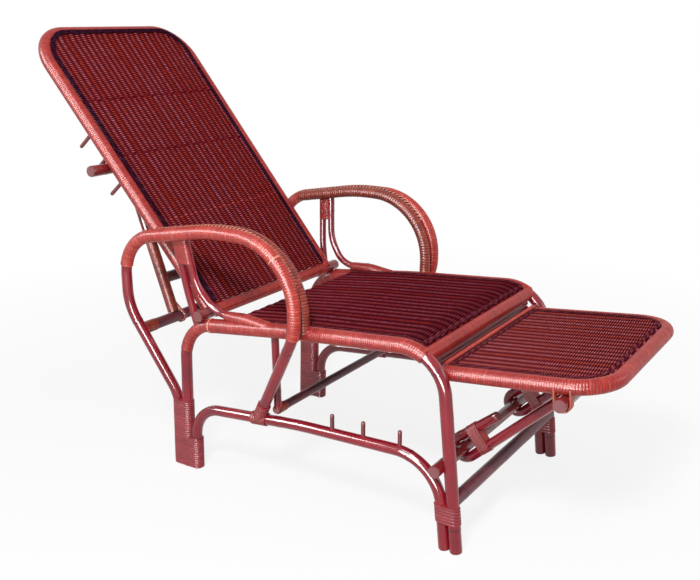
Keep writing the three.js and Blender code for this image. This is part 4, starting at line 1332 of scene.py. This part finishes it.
# Back prop
PROP_HALF = 192
PROP_START = 14.8
PROP_R = 13.5
PROP_BOUND_R = 15
PROP_ROD_HALF = 316
PROP_BAR_HALF = PROP_HALF - 4
PROP_BAR_AT = 106
PROP_BAR_R = 14.5
PROP_STRAP_X = 173
prop_angle, prop_length = angle_between("rear_crossbar", "back_prop_rod")
prop = Axes(middle("rear_crossbar"), prop_angle)
prop_end = prop_length - 14.6
prop_bound = prop_length * 0.55
for side, sign in SIDES:
    x = sign * PROP_HALF
    pole("back_prop_cane_" + side, "back_prop", "lacquered_pole", ["back_prop_pole_" + side],
         [prop.line([(x, prop_bound - 6), (x, prop_end)])], PROP_R * MM, "lacquered")
    winding("back_prop_winding_" + side, "back_prop", "bound_pole", ["back_prop_pole_" + side],
            [prop.line([(x, PROP_START), (x, prop_bound)])], PROP_BOUND_R * MM, "inner_bound",
            Strand=0.0048)
    strap("back_prop_sling_" + side, "back_prop", "back_prop_strap_" + side,
          lambda shift, height, out, sign=sign: prop.at(
              sign * (PROP_STRAP_X + max(height, 0) * 0.3) + shift, height, out),
          CROSSBAR_R, 45, 6.5, strands=2, pitch=3.8)
pole("back_prop_rod_cane", "back_prop", "rod", ["back_prop_rod"],
     [prop.line([(-PROP_ROD_HALF, prop_length), (PROP_ROD_HALF, prop_length)])], ROD_R * MM, "rod")
pole("back_prop_bar_cane", "back_prop", "bare_cane", ["back_prop_bar"],
     [prop.line([(-PROP_BAR_HALF, PROP_BAR_AT), (PROP_BAR_HALF, PROP_BAR_AT)])],
     PROP_BAR_R * MM, "brown")

# Leg rest
REST_HALF = 246.5
REST_LENGTH = 355
REST_DROP = -8
REST_CORNER = 88
REST_R = 17
PIVOT_HALF = 265.2
PIVOT_R = 10.5
rest = Axes(middle("legrest_pivot_bar"), math.radians(-5.76))
rest_hoop = bent_path([
    (rest.at(-REST_HALF, 0, REST_DROP),),
    (rest.at(-REST_HALF, -REST_LENGTH, REST_DROP), REST_CORNER * MM),
    (rest.at(REST_HALF, -REST_LENGTH, REST_DROP), REST_CORNER * MM),
    (rest.at(REST_HALF, 0, REST_DROP),)])
winding("legrest_hoop_winding", "legrest", "bound_pole", ["legrest_hoop"], [rest_hoop],
        REST_R * MM)
pole("legrest_pivot_cane", "legrest", "bare_cane", ["legrest_pivot_bar"],
     [rest.line([(-PIVOT_HALF, 0), (PIVOT_HALF, 0)])], PIVOT_R * MM, "brown")
REST_STAKES = 20
REST_OUT = REST_DROP + 12
rest_field = field(rest, -11, -REST_LENGTH + 12, REST_HALF, REST_HALF, REST_LENGTH, REST_CORNER,
                   REST_OUT)
weave("legrest_weave", "legrest", ["legrest_panel"], *rest_field, REST_STAKES, "rest_weft")
stakes_under("legrest_stakes", "legrest", *rest_field, REST_STAKES)
braid("legrest_border", "legrest", borders(
    rest, REST_HALF, REST_HALF, -REST_LENGTH, REST_CORNER, REST_R, -14, REST_OUT, REST_R - 2,
    REST_OUT), BORDER_R * MM, BORDER_TWIST)
border_half = REST_HALF - 16
border_out = REST_OUT + 4
inner_borders = [rest.line([(-border_half, along, border_out), (border_half, along, border_out)])
                 for along in (-15, -15 - BORDER_PITCH)]
braid("legrest_inner_border", "legrest", inner_borders, BORDER_R * MM, BORDER_TWIST)
edge_half = REST_HALF - 8
winding("legrest_inner_edge", "legrest", "bound_pole", [],
        [rest.line([(-edge_half, -6, 12), (edge_half, -6, 12)])], 5.2 * MM, "arm_bound",
        Strand=0.0045, Groove=0.0005, Sides=12)
HINGE_AT = -268
HINGE_DROP = -39.55
for side, sign in SIDES:
    strap("legrest_sling_" + side, "legrest", "legrest_strap_" + side,
          lambda shift, height, out, sign=sign: rest.at(
              sign * (REST_HALF + 8) + shift, HINGE_AT + out, HINGE_DROP + height),
          ROD_R, 31.55, 17.05, strands=5, pitch=3.4)

# Leg rest prop
leg_angle, leg_length = angle_between("legrest_hinge_rod", "legrest_notch_rod")
leg = Axes(middle("legrest_hinge_rod"), leg_angle)
HAIRPIN_R = 11.5
HAIRPIN_HALF = 150
HAIRPIN_RETURN = 118
HAIRPIN_BOUND = (60, 32)
HINGE_HALF = 278
NOTCH_HALF = 303
reach = ROD_R + HAIRPIN_R + 0.3
far = leg_length + reach
drop = far * math.tan(math.asin(reach / leg_length))
bound_middle = sum(HAIRPIN_BOUND) / 2
low_out = -drop * (leg_length - bound_middle) / far
tilt = -drop / far / 2
for side, sign in SIDES:
    x = sign * HAIRPIN_HALF
    hairpin = bent_path([
        (leg.at(x, 0),), (leg.at(x, far, -drop), reach * MM), (leg.at(x, far, reach), reach * MM),
        (leg.at(x, leg_length - HAIRPIN_RETURN, reach),)])
    start = where(hairpin, lambda spot: (spot - leg.at(x, 0)).length > (ROD_R - 1) * MM)
    pole("legrest_hairpin_" + side, "legrest_prop", "lacquered_pole",
         ["legrest_prop_pole_" + side], [stretch_of(hairpin, start, marks(hairpin)[-1])],
         HAIRPIN_R * MM, "lacquered", Sides=18)
    spots = [(x, leg_length - along, (reach + low_out) / 2 + tilt * (bound_middle - along))
             for along in HAIRPIN_BOUND]
    binding("legrest_hairpin_wrap_" + side, "legrest_prop", "bark", [], [leg.line(spots)],
            (HAIRPIN_R + 1.6) * MM, (reach - low_out) / 2 * MM, tuple(leg.out),
            Strand=0.0052, Groove=0.0008)
pole("legrest_hinge_cane", "legrest_prop", "rod", ["legrest_hinge_rod"],
     [leg.line([(-HINGE_HALF, 0), (HINGE_HALF, 0)])], ROD_R * MM, "rod")
pole("legrest_notch_cane", "legrest_prop", "rod", ["legrest_notch_rod"],
     [leg.line([(-NOTCH_HALF, leg_length), (NOTCH_HALF, leg_length)])], ROD_R * MM, "rod")


# Floor, lights and camera

def looked_at(tree):
    """1 where the surroundings are seen straight or mirrored, 0 where they only give light."""
    ray = make(tree, "ShaderNodeLightPath", None, None, "Is Camera Ray")
    return (ray + ray.other("Is Glossy Ray") + ray.other("Is Transmission Ray")).least(1)


def floor_finish():
    """Plain white floor that still takes a soft shadow from the chair."""
    material = bpy.data.materials.new("studio_floor")
    material.use_nodes = True
    tree = material.node_tree
    shader = tree.nodes["Principled BSDF"]
    shader.inputs["Base Color"].default_value = (0.9, 0.9, 0.9, 1.0)
    shader.inputs["Roughness"].default_value = 0.9
    shader.inputs["Specular IOR Level"].default_value = 0.0
    plain = tree.nodes.new("ShaderNodeEmission")
    share = tree.nodes.new("ShaderNodeMixShader")
    seen = looked_at(tree)
    place = make(tree, "ShaderNodeTexCoord", None, None, "Object")
    away = vector_sum(tree, "LENGTH", place, out="Value")
    tree.links.new((seen * (0.84 + away.between(1.0, 2.4) * 0.16)).socket, share.inputs[0])
    tree.links.new(shader.outputs[0], share.inputs[1])
    tree.links.new(plain.outputs[0], share.inputs[2])
    tree.links.new(share.outputs[0], tree.nodes["Material Output"].inputs["Surface"])
    return material


def white_surroundings():
    """Seen straight or mirrored the surroundings are white; as a light they are softer."""
    world = bpy.data.worlds.new("studio")
    bpy.context.scene.world = world
    world.use_nodes = True
    tree = world.node_tree
    ground = tree.nodes["Background"]
    seen = looked_at(tree)
    tree.links.new((seen * 0.6 + 0.4).socket, ground.inputs["Strength"])
    ground.inputs["Color"].default_value = (1.0, 1.0, 1.0, 1.0)


FLOOR = 40
floor_corners = [(-FLOOR, -FLOOR, 0), (FLOOR, -FLOOR, 0), (FLOOR, FLOOR, 0), (-FLOOR, FLOOR, 0)]
floor_mesh = bpy.data.meshes.new("studio_floor")
floor_mesh.from_pydata(floor_corners, [], [(0, 1, 2, 3)])
floor_mesh.materials.append(floor_finish())
floor = bpy.data.objects.new("studio_floor", floor_mesh)
bpy.context.collection.objects.link(floor)
white_surroundings()


def soft_light(name, place, target, width, height, power, shine_only=False):
    """A soft lamp turned to its target. With shine_only it only shows mirrored in a polish."""
    data = bpy.data.lights.new(name, "AREA")
    data.shape = "RECTANGLE"
    data.size = width
    data.size_y = height
    data.energy = power
    lamp = bpy.data.objects.new(name, data)
    lamp.location = place
    lamp.rotation_mode = "QUATERNION"
    lamp.rotation_quaternion = (Vector(target) - Vector(place)).to_track_quat("-Z", "Y")
    lamp.visible_diffuse = not shine_only
    bpy.context.collection.objects.link(lamp)
    return lamp


soft_light("key", (-2.3, -0.9, 2.7), (0, 0, 0.5), 0.7, 0.7, 88)
soft_light("fill", (1.4, -2.9, 1.7), (0, 0, 0.4), 1.2, 1.2, 18)
soft_light("side_panel", (-3.0, -0.1, 1.2), (0, 0, 0.6), 1.8, 2.4, 400, True)
soft_light("rear_panel", (-2.4, 2.2, 2.0), (0, 0, 0.5), 1.4, 1.4, 200, True)
soft_light("low_panel", (-2.4, -1.15, 0.3), (-0.3, 0.3, 0.3), 0.9, 0.6, 70, True)
soft_light("top_panel", (-1.7, -0.3, 3.1), (0, 0, 0.4), 1.6, 1.0, 70, True)

# The camera's place, direction and lens come from the lines of the chair's straight poles
camera_data = bpy.data.cameras.new("camera")
camera_data.lens = 47.86
camera_data.sensor_width = 36
camera = bpy.data.objects.new("camera", camera_data)
camera.location = (-1.911, -1.2664, 1.122)
camera.rotation_mode = "QUATERNION"
camera.rotation_quaternion = Vector((0.806, 0.5205, -0.281)).to_track_quat("-Z", "Y")
bpy.context.collection.objects.link(camera)
bpy.context.scene.camera = camera
bpy.context.scene.view_settings.view_transform = "Standard"
